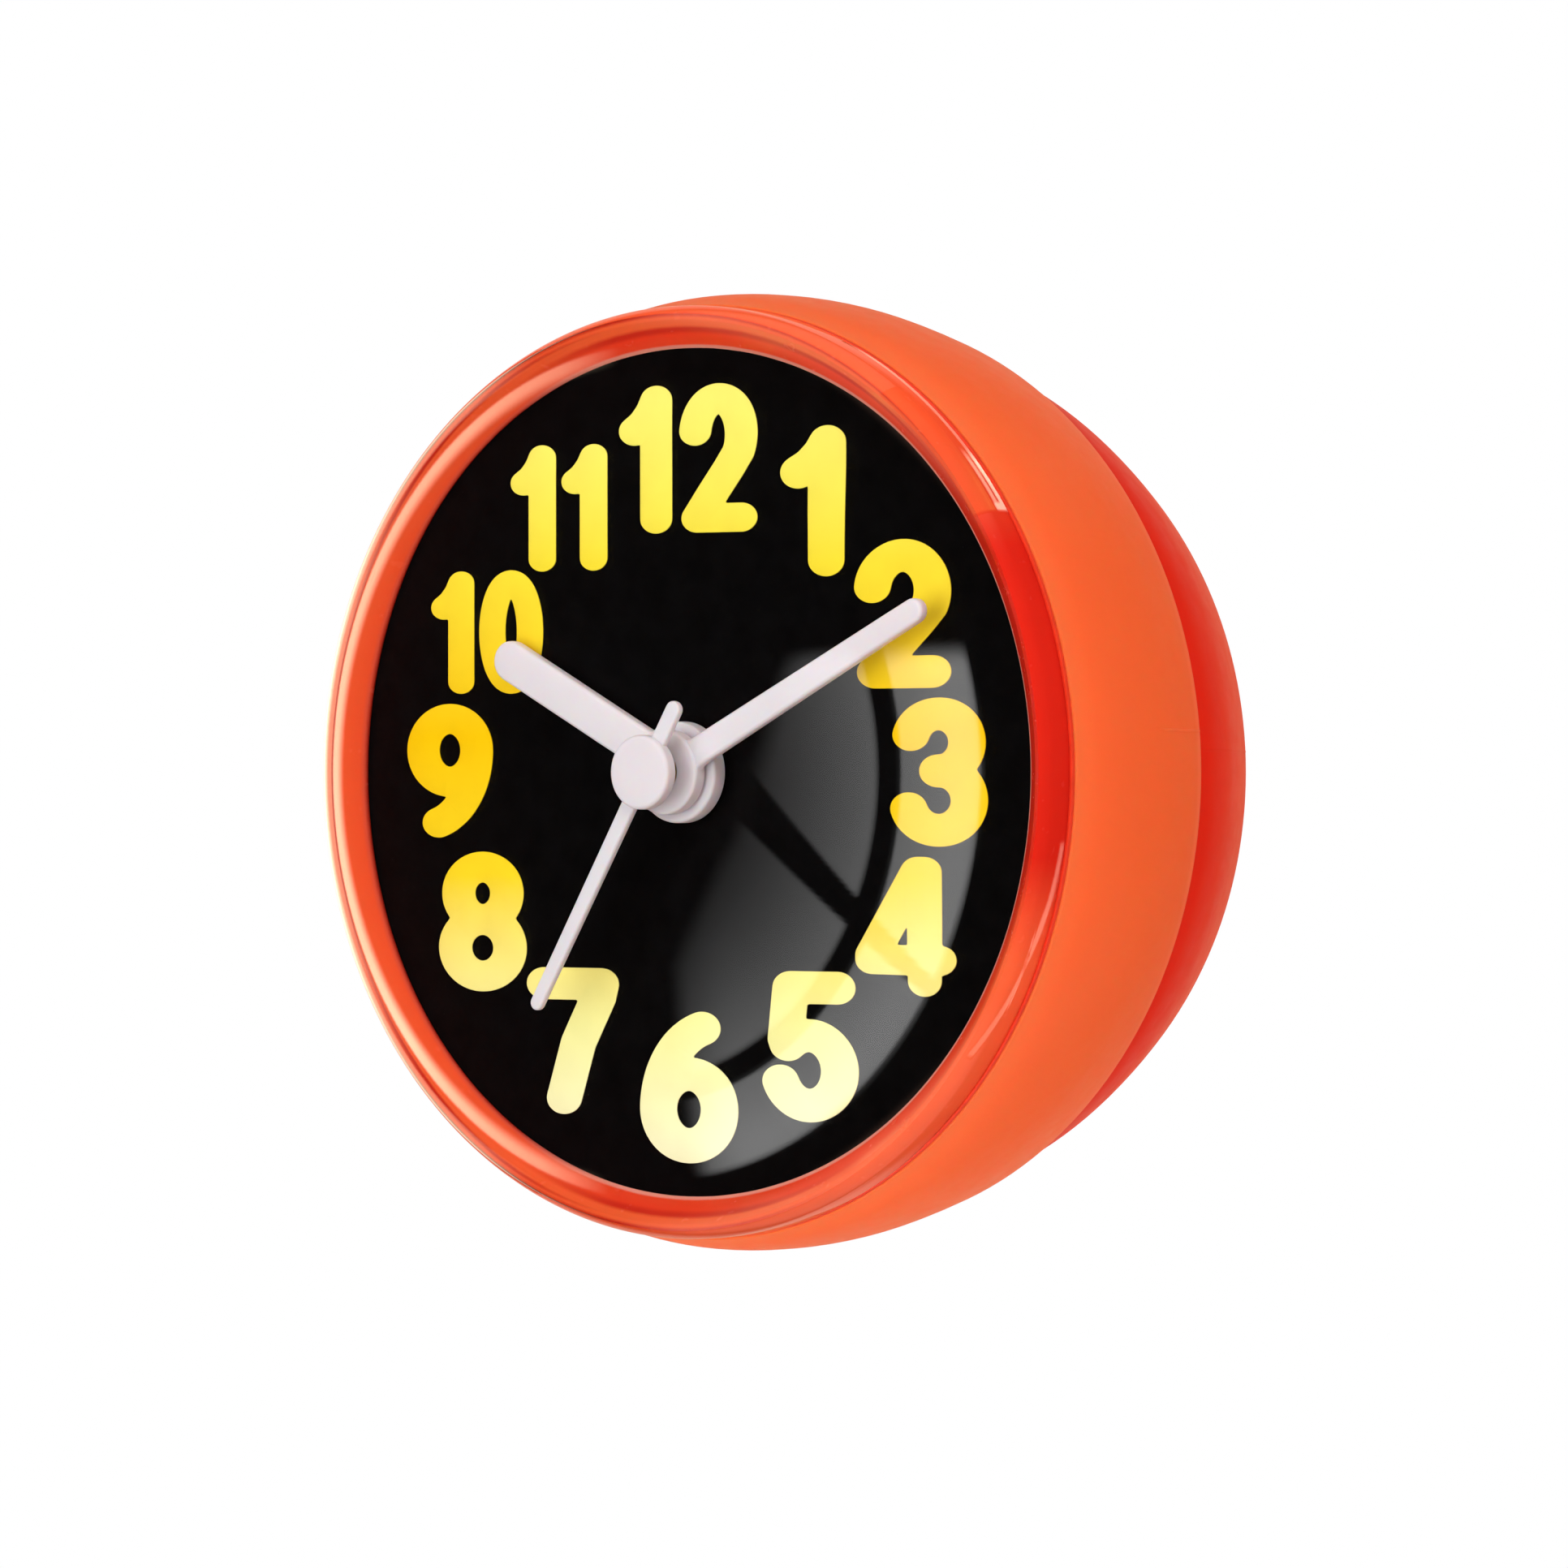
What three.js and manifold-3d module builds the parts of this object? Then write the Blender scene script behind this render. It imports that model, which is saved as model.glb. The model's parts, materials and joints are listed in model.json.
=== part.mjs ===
// Bathroom wall clock with a suction cup: orange drum, clear domed lens, quartz movement.
// Millimetres, +Z up. The dial faces -Y and the wall is the plane Y = 0, with the origin
// at the centre of the suction cup's lip. "d" below is the depth behind the dial's front.

import * as THREE from 'three';
import { mergeVertices } from 'three/addons/utils/BufferGeometryUtils.js';
import Module from 'manifold-3d';

const wasm = await Module();
wasm.setup();

// ---------------------------------------------------------------- driving dimensions
const WALL_D = 32.0;          // depth of the wall plane behind the dial's front
const SEG = 32;               // facets round the large turned pieces
const SEG_S = 12;             // facets round small turned pieces

// housing
const DRUM_FRONT_R = 34.25, DRUM_FRONT_D = 0.9;
const DRUM_MAX_R = 35.25, DRUM_MAX_D = 8.0;
const DRUM_BACK_R = 34.05, DRUM_BACK_D = 16.5;
const LEDGE_R = 27.2, LEDGE_D = 3.9;
const REAR_WALL_D = 14.7, REAR_BORE_R = 26.0;

// lens
const LENS_R = 34.1, LENS_APEX_D = -9.0, LENS_SKIRT_IN_R = 33.62, LENS_BACK_D = 0.55;

// dial and ring
const DIAL_R = 32.5, DIAL_T = 0.75, DIAL_HOLE_R = 2.6;
const RING_IN_R = 30.85, RING_OUT_R = 33.52, RING_TOP_D = -2.16;

// hands: clockwise angle from twelve, length, width
const HOUR_ANGLE = 297.3, HOUR_LEN = 19.4, HOUR_W = 3.0, HOUR_HUB_R = 3.7;
const MIN_ANGLE = 63.1, MIN_LEN = 26.2, MIN_W0 = 2.2, MIN_W1 = 1.8, MIN_HUB_R = 3.1;
const SEC_ANGLE = 210.9, SEC_LEN = 20.2, SEC_TAIL = 5.9, SEC_W0 = 1.3, SEC_W1 = 1.1, SEC_CAP_R = 2.7;

// movement
const PLATE_D0 = 4.2, PLATE_D1 = 5.4;
const CASE_HALF = 19.0, CASE_CORNER = 9.0, CASE_WALL = 1.4;
const CASE_D0 = 5.7, CASE_FLOOR_D = 13.6, CASE_D1 = 14.8;
const MID_D0 = 7.9, MID_D1 = 8.7;
const EAR_ANGLES = [90, 210, 330], EAR_R = 29.8;
const CASE_POSTS = [[13.2, -13.2], [-13.2, -13.2], [13.2, 13.2]];

// wheel levels [front, back]
const L_HOUR = [5.7, 6.5], L_MINUTE = [6.8, 7.6], L_CENTRE = [9.0, 9.8];
const L_THIRD = [10.1, 10.9], L_SECOND = [11.2, 12.0], L_FIFTH = [12.3, 13.1];

// tooth counts and modules
const Z_ROTOR = 6, Z_FIFTH = 36, M_RF = 0.25;
const Z_FIFTH_P = 8, Z_SECOND = 40, M_FS = 0.27;
const Z_SECOND_P = 6, Z_THIRD = 45, M_ST = 0.25;
const Z_THIRD_P = 6, Z_CENTRE = 48;
const Z_CANNON = 8, Z_MINUTE = 24, M_CM = 0.45;
const Z_MINUTE_P = 6, Z_HOUR = 24;
const A_RF = M_RF * (Z_ROTOR + Z_FIFTH) / 2;
const A_FS = M_FS * (Z_FIFTH_P + Z_SECOND) / 2;
const A_ST = M_ST * (Z_SECOND_P + Z_THIRD) / 2;
const M_TC = 2 * A_ST / (Z_THIRD_P + Z_CENTRE);
const A_CM = M_CM * (Z_CANNON + Z_MINUTE) / 2;
const M_MH = 2 * A_CM / (Z_MINUTE_P + Z_HOUR);

// directions of the train's axes, seen from the front
const RAD = Math.PI / 180;
const DIR_FIFTH = 60 * RAD, DIR_THIRD = 150 * RAD, DIR_MINUTE = 300 * RAD;
const at = (dir, dist) => [Math.cos(dir) * dist, Math.sin(dir) * dist];
const P_FIFTH = at(DIR_FIFTH, A_FS);
const P_ROTOR = at(DIR_FIFTH, A_FS + A_RF);
const P_THIRD = at(DIR_THIRD, A_ST);
const P_MINUTE = at(DIR_MINUTE, A_CM);

// battery: button cell
const CELL_R = 5.8, CELL_D0 = 9.4, CELL_D1 = 14.8;
const P_CELL = [-4.0, -11.0];

// setting knob
const KNOB_R = 3.0, KNOB_D0 = 15.2, KNOB_D1 = 19.2;

// rear cap
const CAP_MAX_R = 32.85, CAP_FRONT_D = 17.3, CAP_BACK_D = 30.5;
const SPIGOT_IN_R = 23.6, SPIGOT_OUT_R = 25.4, SPIGOT_D = 13.4;
const LUG_R = 27.4, LUG_HALF = 14, NOTCH_HALF = 17, TWIST = 45;
const LUG_ANGLES = [90, 210, 330];

// suction cup
const CUP_R = 24.0, CUP_LIP_IN_R = 19.5;

// ---------------------------------------------------------------- shape helpers
const Y = (d) => d - WALL_D;

function tidy(geometry) {
  geometry.deleteAttribute('normal');
  geometry.deleteAttribute('uv');
  geometry.clearGroups();
  const g = mergeVertices(geometry, 1e-4);
  const p = g.attributes.position, src = g.index.array, keep = [];
  let volume = 0;
  const a = new THREE.Vector3(), b = new THREE.Vector3(), c = new THREE.Vector3();
  for (let i = 0; i < src.length; i += 3) {
    const [u, v, w] = [src[i], src[i + 1], src[i + 2]];
    if (u === v || v === w || u === w) continue;
    keep.push(u, v, w);
    a.fromBufferAttribute(p, u); b.fromBufferAttribute(p, v); c.fromBufferAttribute(p, w);
    volume += a.dot(b.cross(c));
  }
  if (volume < 0) for (let i = 0; i < keep.length; i += 3) [keep[i + 1], keep[i + 2]] = [keep[i + 2], keep[i + 1]];
  g.setIndex(keep);
  return g;
}

function solid(geometry) {
  const m = new wasm.Mesh({
    numProp: 3,
    vertProperties: new Float32Array(geometry.attributes.position.array),
    triVerts: new Uint32Array(geometry.index.array),
  });
  return new wasm.Manifold(m);
}

function shell(manifold) {
  const m = manifold.getMesh();
  const g = new THREE.BufferGeometry();
  g.setAttribute('position', new THREE.BufferAttribute(new Float32Array(m.vertProperties), 3));
  g.setIndex(Array.from(m.triVerts));
  return tidy(g);
}

function join(first, ...rest) {
  let s = solid(first);
  for (const r of rest) s = s.add(solid(r));
  return shell(s);
}

function cut(first, ...rest) {
  let s = solid(first);
  for (const r of rest) s = s.subtract(solid(r));
  return shell(s);
}

// Turned body about the clock's axis, or about a parallel axis at [x, z].
function turned(profile, seg = SEG, [x, z] = [0, 0]) {
  const pts = profile.map(([r, d]) => new THREE.Vector2(r, Y(d)));
  const onAxis = profile[0][0] === 0 && profile.at(-1)[0] === 0;
  if (!onAxis) pts.push(pts[0].clone());
  const g = new THREE.LatheGeometry(pts, seg);
  g.translate(x, 0, z);
  return tidy(g);
}

const rod = (p, r, d0, d1, seg = SEG_S) => turned([[0, d0], [r, d0], [r, d1], [0, d1]], seg, p);
const tube = (p, r0, r1, d0, d1, seg = SEG_S) => turned([[r0, d0], [r1, d0], [r1, d1], [r0, d1]], seg, p);

// Flat plate from an outline seen from the front.
function plate(shape, d0, d1, curveSegments = 4) {
  const g = new THREE.ExtrudeGeometry(shape, { depth: d1 - d0, bevelEnabled: false, curveSegments });
  g.rotateX(Math.PI / 2);
  g.translate(0, Y(d1), 0);
  return tidy(g);
}

const polygon = (pts) => new THREE.Shape(pts.map(([x, y]) => new THREE.Vector2(x, y)));

function hole(shape, [x, y], r) {
  const h = new THREE.Path();
  h.absarc(x, y, r, 0, 2 * Math.PI, true);
  shape.holes.push(h);
  return shape;
}

function roundedRect(x0, y0, x1, y1, r) {
  const s = new THREE.Shape();
  s.moveTo(x0 + r, y0);
  s.lineTo(x1 - r, y0); s.absarc(x1 - r, y0 + r, r, -Math.PI / 2, 0, false);
  s.lineTo(x1, y1 - r); s.absarc(x1 - r, y1 - r, r, 0, Math.PI / 2, false);
  s.lineTo(x0 + r, y1); s.absarc(x0 + r, y1 - r, r, Math.PI / 2, Math.PI, false);
  s.lineTo(x0, y0 + r); s.absarc(x0 + r, y0 + r, r, Math.PI, 1.5 * Math.PI, false);
  return s;
}

// Sector of a ring between two angles.
function sector(r0, r1, a0, a1, n = 6) {
  const pts = [];
  for (let i = 0; i <= n; i++) pts.push(at((a0 + (a1 - a0) * i / n) * RAD, r1));
  for (let i = n; i >= 0; i--) pts.push(at((a0 + (a1 - a0) * i / n) * RAD, r0));
  return polygon(pts);
}

// Toothed outline; phase is the angle of one tooth's middle.
function gearShape(teeth, module, phase, [x, y], bore = 0) {
  const rp = module * teeth / 2, tip = rp + 0.62 * module, root = rp - 0.95 * module;
  const pts = [], step = 2 * Math.PI / teeth;
  const hr = 0.27 * step, ht = 0.1 * step;
  for (let i = 0; i < teeth; i++) {
    const c = phase + i * step;
    for (const [r, a] of [[root, c - hr], [tip, c - ht], [tip, c + ht], [root, c + hr]]) {
      pts.push([x + r * Math.cos(a), y + r * Math.sin(a)]);
    }
  }
  const s = polygon(pts);
  return bore ? hole(s, [x, y], bore) : s;
}

// Phase of gear 2 that meshes with gear 1 when gear 2 lies in direction dir from gear 1.
const meshPhase = (dir, z1, phase1, z2) => dir + Math.PI - (Math.PI - (dir - phase1) * z1) / z2;

// Straight arm with a round end, pointing a clockwise angle from twelve.
function arm(angle, from, to, w0, w1, n = 8) {
  const pts = [[-w0 / 2, from], [w0 / 2, from]];
  for (let i = 0; i <= n; i++) {
    const t = i / n * Math.PI;
    pts.push([w1 / 2 * Math.cos(t), to - w1 / 2 + w1 / 2 * Math.sin(t)]);
  }
  const c = Math.cos(-angle * RAD), s = Math.sin(-angle * RAD);
  return polygon(pts.map(([x, y]) => [c * x - s * y, s * x + c * y]));
}

// ---------------------------------------------------------------- materials
const mat = (color, roughness, metalness = 0, extra = {}) =>
  new THREE.MeshStandardMaterial({ color, roughness, metalness, ...extra });
const ORANGE = mat(0xf56437, 0.42), RED = mat(0xdc2416, 0.3), BLACK = mat(0x070707, 0.45);
const CLEAR = mat(0xf4f4f2, 0.05, 0, { transparent: true, opacity: 0.25 });
const WHITE = mat(0xe6e1e6, 0.45), SEAL = mat(0x5a1410, 0.8), SOFT = mat(0xe9e6df, 0.35, 0, { transparent: true, opacity: 0.7 });
const CASEBLACK = mat(0x17181a, 0.6), NYLON = mat(0xe9e4d6, 0.5), STEEL = mat(0xb9bcc0, 0.3, 1), BRASS = mat(0xc9a24a, 0.35, 1);
const COPPER = mat(0xb4622d, 0.4, 1), IRON = mat(0x8d9094, 0.45, 1), BOARD = mat(0x1f5a34, 0.6), MAGNET = mat(0x3a3b3f, 0.5, 0.6);

const clock = new THREE.Group();
function part(name, geometry, material) {
  const m = new THREE.Mesh(geometry, material);
  m.name = name;
  clock.add(m);
  return m;
}

// ---------------------------------------------------------------- housing
{
  const shellProfile = [
    [LEDGE_R, DRUM_FRONT_D], [DRUM_FRONT_R - 0.15, DRUM_FRONT_D], [DRUM_FRONT_R + 0.05, DRUM_FRONT_D + 0.2],
    [34.92, 3.0], [35.19, 5.0], [DRUM_MAX_R, DRUM_MAX_D], [35.04, 11.0], [34.5, 14.2],
    [DRUM_BACK_R + 0.03, DRUM_BACK_D - 0.35], [DRUM_BACK_R - 0.3, DRUM_BACK_D],
    [REAR_BORE_R, DRUM_BACK_D], [REAR_BORE_R, REAR_WALL_D], [32.0, REAR_WALL_D], [32.6, 8.0],
    [32.3, LEDGE_D], [LEDGE_R, LEDGE_D],
  ];
  const cuts = [];
  for (const a of LUG_ANGLES) {
    const c = a - TWIST;
    cuts.push(plate(sector(REAR_BORE_R - 2, LUG_R + 0.3, c - NOTCH_HALF, c + NOTCH_HALF), REAR_WALL_D - 1, DRUM_BACK_D + 1));
  }
  for (const a of EAR_ANGLES) cuts.push(rod(at(a * RAD, EAR_R), 1.0, 1.5, LEDGE_D + 1, 8));
  part('housing', cut(turned(shellProfile), ...cuts), ORANGE);
}

// ---------------------------------------------------------------- lens, gasket, ring, dial
{
  const dome = 110, apexIn = LENS_APEX_D + 0.8;
  const out = (r) => LENS_APEX_D + dome - Math.sqrt(dome * dome - r * r);
  const inn = (r) => apexIn + dome - Math.sqrt(dome * dome - r * r);
  const profile = [
    [0, LENS_APEX_D], [10, out(10)], [19, out(19)], [27, out(27)],
    [30.2, -4.65], [32.3, -3.75], [33.5, -2.75], [LENS_R - 0.08, -1.7], [LENS_R, -1.0], [LENS_R, LENS_BACK_D],
    [LENS_SKIRT_IN_R, LENS_BACK_D], [LENS_SKIRT_IN_R, -1.0], [LENS_SKIRT_IN_R - 0.06, -1.6], [33.1, -2.45], [31.95, -3.27], [30, -4.02], [27, inn(27)],
    [19, inn(19)], [10, inn(10)], [0, apexIn],
  ];
  part('lens', turned(profile), CLEAR);
  part('lens_gasket', tube([0, 0], LENS_SKIRT_IN_R + 0.05, LENS_R - 0.1, LENS_BACK_D + 0.03, DRUM_FRONT_D - 0.03, SEG), SEAL);
}
// the ring's inside flares up from the dial, and its outside wall stands on the housing
part('dial_ring', turned([
  [RING_IN_R, -0.04], [RING_IN_R, -0.16], [RING_IN_R + 0.2, -0.32], [32.7, RING_TOP_D + 0.14], [33.02, RING_TOP_D],
  [RING_OUT_R - 0.18, RING_TOP_D + 0.26], [RING_OUT_R, RING_TOP_D + 0.86], [RING_OUT_R, DRUM_FRONT_D - 0.03],
  [DIAL_R + 0.1, DRUM_FRONT_D - 0.03], [DIAL_R + 0.1, -0.04],
]), RED);
part('dial', tube([0, 0], DIAL_HOLE_R, DIAL_R, 0, DIAL_T, SEG), BLACK);

// ---------------------------------------------------------------- hands
{
  const hub = (r, d0, d1) => rod([0, 0], r, d0, d1, 28);
  const bore = (r, d0, d1) => rod([0, 0], r, d0, d1);
  part('hour_hand', cut(
    join(plate(arm(HOUR_ANGLE, 0, HOUR_LEN, HOUR_W, HOUR_W), -1.6, -0.55), hub(HOUR_HUB_R, -1.7, -0.35)),
    bore(2.12, -3, 1)), WHITE);
  part('minute_hand', cut(
    join(plate(arm(MIN_ANGLE, 0, MIN_LEN, MIN_W0, MIN_W1), -3.0, -2.1), hub(MIN_HUB_R, -3.15, -1.95)),
    bore(1.32, -4, 0)), WHITE);
  part('second_hand', cut(
    join(plate(arm(SEC_ANGLE, 0, SEC_LEN, SEC_W0, SEC_W1), -5.4, -4.75),
      plate(arm(SEC_ANGLE + 180, 0, SEC_TAIL, SEC_W0, SEC_W0), -5.4, -4.75),
      turned([[0, -5.9], [SEC_CAP_R - 0.25, -5.9], [SEC_CAP_R, -5.65], [SEC_CAP_R, -4.9], [1.5, -4.5], [1.5, -3.45], [0, -3.45]], 28)),
    bore(0.62, -5.1, 0)), WHITE);
}

// ---------------------------------------------------------------- movement plates and tub
{
  const s = roundedRect(-CASE_HALF, -CASE_HALF, CASE_HALF, CASE_HALF, CASE_CORNER);
  const ears = EAR_ANGLES.map((a) => plate(arm(90 - a, 0, EAR_R + 2.2, 7.0, 4.4), PLATE_D0, PLATE_D1));
  const body = join(plate(s, PLATE_D0, PLATE_D1), ...ears, rod([0, 0], 3.3, 1.3, PLATE_D0 + 0.2));
  part('movement_front_plate', cut(body, rod([0, 0], 2.15, 0, 8),
    ...EAR_ANGLES.map((a) => rod(at(a * RAD, EAR_R), 1.0, PLATE_D0 - 1, PLATE_D1 + 1, 8)),
    ...CASE_POSTS.map((p) => rod(p, 0.8, PLATE_D0 + 0.3, PLATE_D1 + 1, 8))), CASEBLACK);

  const outer = plate(s, CASE_D0, CASE_D1);
  const h = CASE_HALF - CASE_WALL;
  const inner = plate(roundedRect(-h, -h, h, h, CASE_CORNER - CASE_WALL), CASE_D0 - 1, CASE_FLOOR_D);
  const tub = join(cut(outer, inner), ...CASE_POSTS.map((p) => rod(p, 2.0, CASE_D0, CASE_D1 - 0.2, 12)));
  part('movement_case', cut(tub,
    ...CASE_POSTS.map((p) => rod(p, 0.8, CASE_D0 - 1, CASE_D1 + 1, 8)),
    rod([0, 0], 0.65, 12, 16, 10), rod(P_THIRD, 0.5, 12, 16, 8), rod(P_FIFTH, 0.5, 12, 16, 8), rod(P_ROTOR, 0.5, 12, 16, 8),
    rod(P_MINUTE, 0.85, 12, 16, 10), rod(P_CELL, CELL_R + 0.3, 12, 16, 24)), CASEBLACK);

  const mid = roundedRect(-10, -9.5, 10, 11.8, 2.5);
  hole(mid, [0, 0], 1.45); hole(mid, P_MINUTE, 0.9); hole(mid, P_THIRD, 0.5); hole(mid, P_FIFTH, 0.5); hole(mid, P_ROTOR, 0.5);
  part('middle_plate', join(plate(mid, MID_D0, MID_D1),
    ...[[-8, -7.5], [8.2, 9.8], [-8, 9.8]].map((p) => rod(p, 1.4, PLATE_D1 + 0.3, MID_D0 + 0.2, 12))), NYLON);
}
const screw = (p, headR, shankR, dTip, dHead0, dHead1) => cut(
  turned([[0, dTip], [shankR * 0.6, dTip], [shankR, dTip + 0.5], [shankR, dHead0], [headR, dHead0], [headR, dHead1 - 0.2], [headR - 0.25, dHead1], [0, dHead1]], 10, p),
  plate(polygon([[p[0] - headR - 1, p[1] - 0.2], [p[0] + headR + 1, p[1] - 0.2], [p[0] + headR + 1, p[1] + 0.2], [p[0] - headR - 1, p[1] + 0.2]]), dHead1 - 0.4, dHead1 + 1));
EAR_ANGLES.forEach((a, i) => part(`movement_screw_${i + 1}`, screw(at(a * RAD, EAR_R), 1.7, 0.8, 1.8, PLATE_D1 + 0.04, PLATE_D1 + 1.2), STEEL));
CASE_POSTS.forEach((p, i) => part(`case_screw_${i + 1}`, screw(p, 1.5, 0.62, PLATE_D0 + 0.6, CASE_D1 + 0.04, CASE_D1 + 0.9), STEEL));

// ---------------------------------------------------------------- wheels
const phSecond = 0, phSecondP = 0, phFifth = 0, phThirdP = 0, phCannon = 0, phMinuteP = 0;
const phFifthP = meshPhase(DIR_FIFTH, Z_SECOND, phSecond, Z_FIFTH_P);
const phRotor = meshPhase(DIR_FIFTH, Z_FIFTH, phFifth, Z_ROTOR);
const phThird = meshPhase(DIR_THIRD, Z_SECOND_P, phSecondP, Z_THIRD);
const phCentre = meshPhase(DIR_THIRD + Math.PI, Z_THIRD_P, phThirdP, Z_CENTRE);
const phMinute = meshPhase(DIR_MINUTE, Z_CANNON, phCannon, Z_MINUTE);
const phHour = meshPhase(DIR_MINUTE + Math.PI, Z_MINUTE_P, phMinuteP, Z_HOUR);
const O = [0, 0];

part('hour_wheel', cut(join(plate(gearShape(Z_HOUR, M_MH, phHour, O), ...L_HOUR), rod(O, 1.95, -1.3, L_HOUR[1])), rod(O, 1.32, -3, 8)), NYLON);
part('minute_wheel', join(
  plate(gearShape(Z_MINUTE, M_CM, phMinute, P_MINUTE), ...L_MINUTE),
  plate(gearShape(Z_MINUTE_P, M_MH, phMinuteP, P_MINUTE), L_HOUR[0], L_MINUTE[0] + 0.2),
  rod(P_MINUTE, 0.6, L_HOUR[0], KNOB_D1 - 0.6, 14)), NYLON);
part('centre_wheel', cut(join(
  plate(gearShape(Z_CENTRE, M_TC, phCentre, O), ...L_CENTRE),
  plate(gearShape(Z_CANNON, M_CM, phCannon, O), ...L_MINUTE),
  rod(O, 1.15, -2.85, L_CENTRE[1])), rod(O, 0.62, -4, 12)), BRASS);
part('third_wheel', join(
  plate(gearShape(Z_THIRD, M_ST, phThird, P_THIRD), ...L_THIRD),
  plate(gearShape(Z_THIRD_P, M_TC, phThirdP, P_THIRD), L_CENTRE[0], L_THIRD[0] + 0.2),
  rod(P_THIRD, 0.3, MID_D0 + 0.3, CASE_D1 - 0.5, 8)), NYLON);
part('second_wheel', join(
  plate(gearShape(Z_SECOND, M_FS, phSecond, O), ...L_SECOND),
  plate(gearShape(Z_SECOND_P, M_ST, phSecondP, O), L_THIRD[0], L_SECOND[0] + 0.2),
  rod(O, 0.42, -4.9, CASE_D1 - 0.4, 14)), NYLON);
part('fifth_wheel', join(
  plate(gearShape(Z_FIFTH, M_RF, phFifth, P_FIFTH), ...L_FIFTH),
  plate(gearShape(Z_FIFTH_P, M_FS, phFifthP, P_FIFTH), L_SECOND[0], L_FIFTH[0] + 0.2),
  rod(P_FIFTH, 0.3, MID_D0 + 0.3, CASE_D1 - 0.5, 8)), NYLON);
part('rotor', join(
  rod(P_ROTOR, 1.9, 9.2, 10.9, 18),
  plate(gearShape(Z_ROTOR, M_RF, phRotor, P_ROTOR), 10.7, L_FIFTH[1]),
  rod(P_ROTOR, 0.3, MID_D0 + 0.3, CASE_D1 - 0.5, 8)), MAGNET);
{
  const s = new THREE.Shape();
  const n = 16;
  for (let i = 0; i < n * 2; i++) {
    const a = i * Math.PI / n, r = i % 2 ? KNOB_R - 0.3 : KNOB_R;
    const [x, y] = [P_MINUTE[0] + r * Math.cos(a), P_MINUTE[1] + r * Math.sin(a)];
    if (i) s.lineTo(x, y); else s.moveTo(x, y);
  }
  part('setting_knob', cut(join(plate(s, KNOB_D0 + 1.2, KNOB_D1), rod(P_MINUTE, 1.6, KNOB_D0, KNOB_D0 + 1.4, 16)), rod(P_MINUTE, 0.8, 14, KNOB_D1 - 0.5, 14)), NYLON);
}

// ---------------------------------------------------------------- stepping motor and electronics
{
  const st = polygon([[-12, 9.7], [1.5, 9.7], [2.6, 7.2], [9.6, 7.2], [9.6, 13.4], [2.6, 13.4], [1.5, 11.9], [-12, 11.9]]);
  part('stator', plate(hole(st, P_ROTOR, 2.5), 9.6, 10.4, 8), IRON);
  const zc = 15.0, dc = 11.3;
  part('coil_core', plate(polygon([[-12, 10.2], [-9.8, 10.2], [-9.8, zc - 0.7], [7.4, zc - 0.7], [7.4, 11], [9.6, 11], [9.6, zc + 0.7], [-12, zc + 0.7]]), dc - 0.4, dc + 0.4), IRON);
  const along = (profile, seg = 16) => {
    const pts = profile.map(([r, x]) => new THREE.Vector2(r, x));
    pts.push(pts[0].clone());
    const g = new THREE.LatheGeometry(pts, seg);
    g.rotateZ(-Math.PI / 2);
    g.translate(0, Y(dc), zc);
    return tidy(g);
  };
  part('coil_bobbin', along([[1.0, -8.6], [2.2, -8.6], [2.2, -7.9], [1.3, -7.9], [1.3, 0.6], [2.2, 0.6], [2.2, 1.3], [1.0, 1.3]]), NYLON);
  part('coil_winding', along([[1.4, -7.8], [1.98, -7.8], [1.98, 0.5], [1.4, 0.5]], 16), COPPER);

  part('circuit_board', plate(roundedRect(-17.2, -8, -11.9, 9, 0.6), 12.4, 13.2, 3), BOARD);
  const crystal = new THREE.CylinderGeometry(1.0, 1.0, 6.0, 14);
  crystal.rotateX(Math.PI / 2);
  crystal.translate(-14.5, Y(11.2), 4.5);
  part('quartz_crystal', tidy(crystal), STEEL);
  part('chip_cap', turned([[0, 11.5], [1.1, 11.6], [1.8, 11.95], [2.0, 12.35], [0, 12.35]], 18, [-14.5, -3.5]), BLACK);

  part('battery', turned([[0, CELL_D0], [4.6, CELL_D0], [4.9, CELL_D0 + 0.3], [4.9, CELL_D0 + 0.7], [5.5, CELL_D0 + 0.8], [CELL_R, CELL_D0 + 1.2],
    [CELL_R, CELL_D1 - 0.4], [CELL_R - 0.4, CELL_D1], [0, CELL_D1]], 24, P_CELL), STEEL);
  part('battery_contact_negative', plate(polygon([[-10.2, -12.2], [-1.4, -12.2], [-1.4, -9.8], [-10.2, -9.8]]), 9.0, 9.3), BRASS);
  part('battery_contact_positive', plate(polygon([[-10.6, -14.0], [-10.1, -14.0], [-10.1, -8.6], [-10.6, -8.6]]), 9.6, 13.4), BRASS);
}

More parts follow.
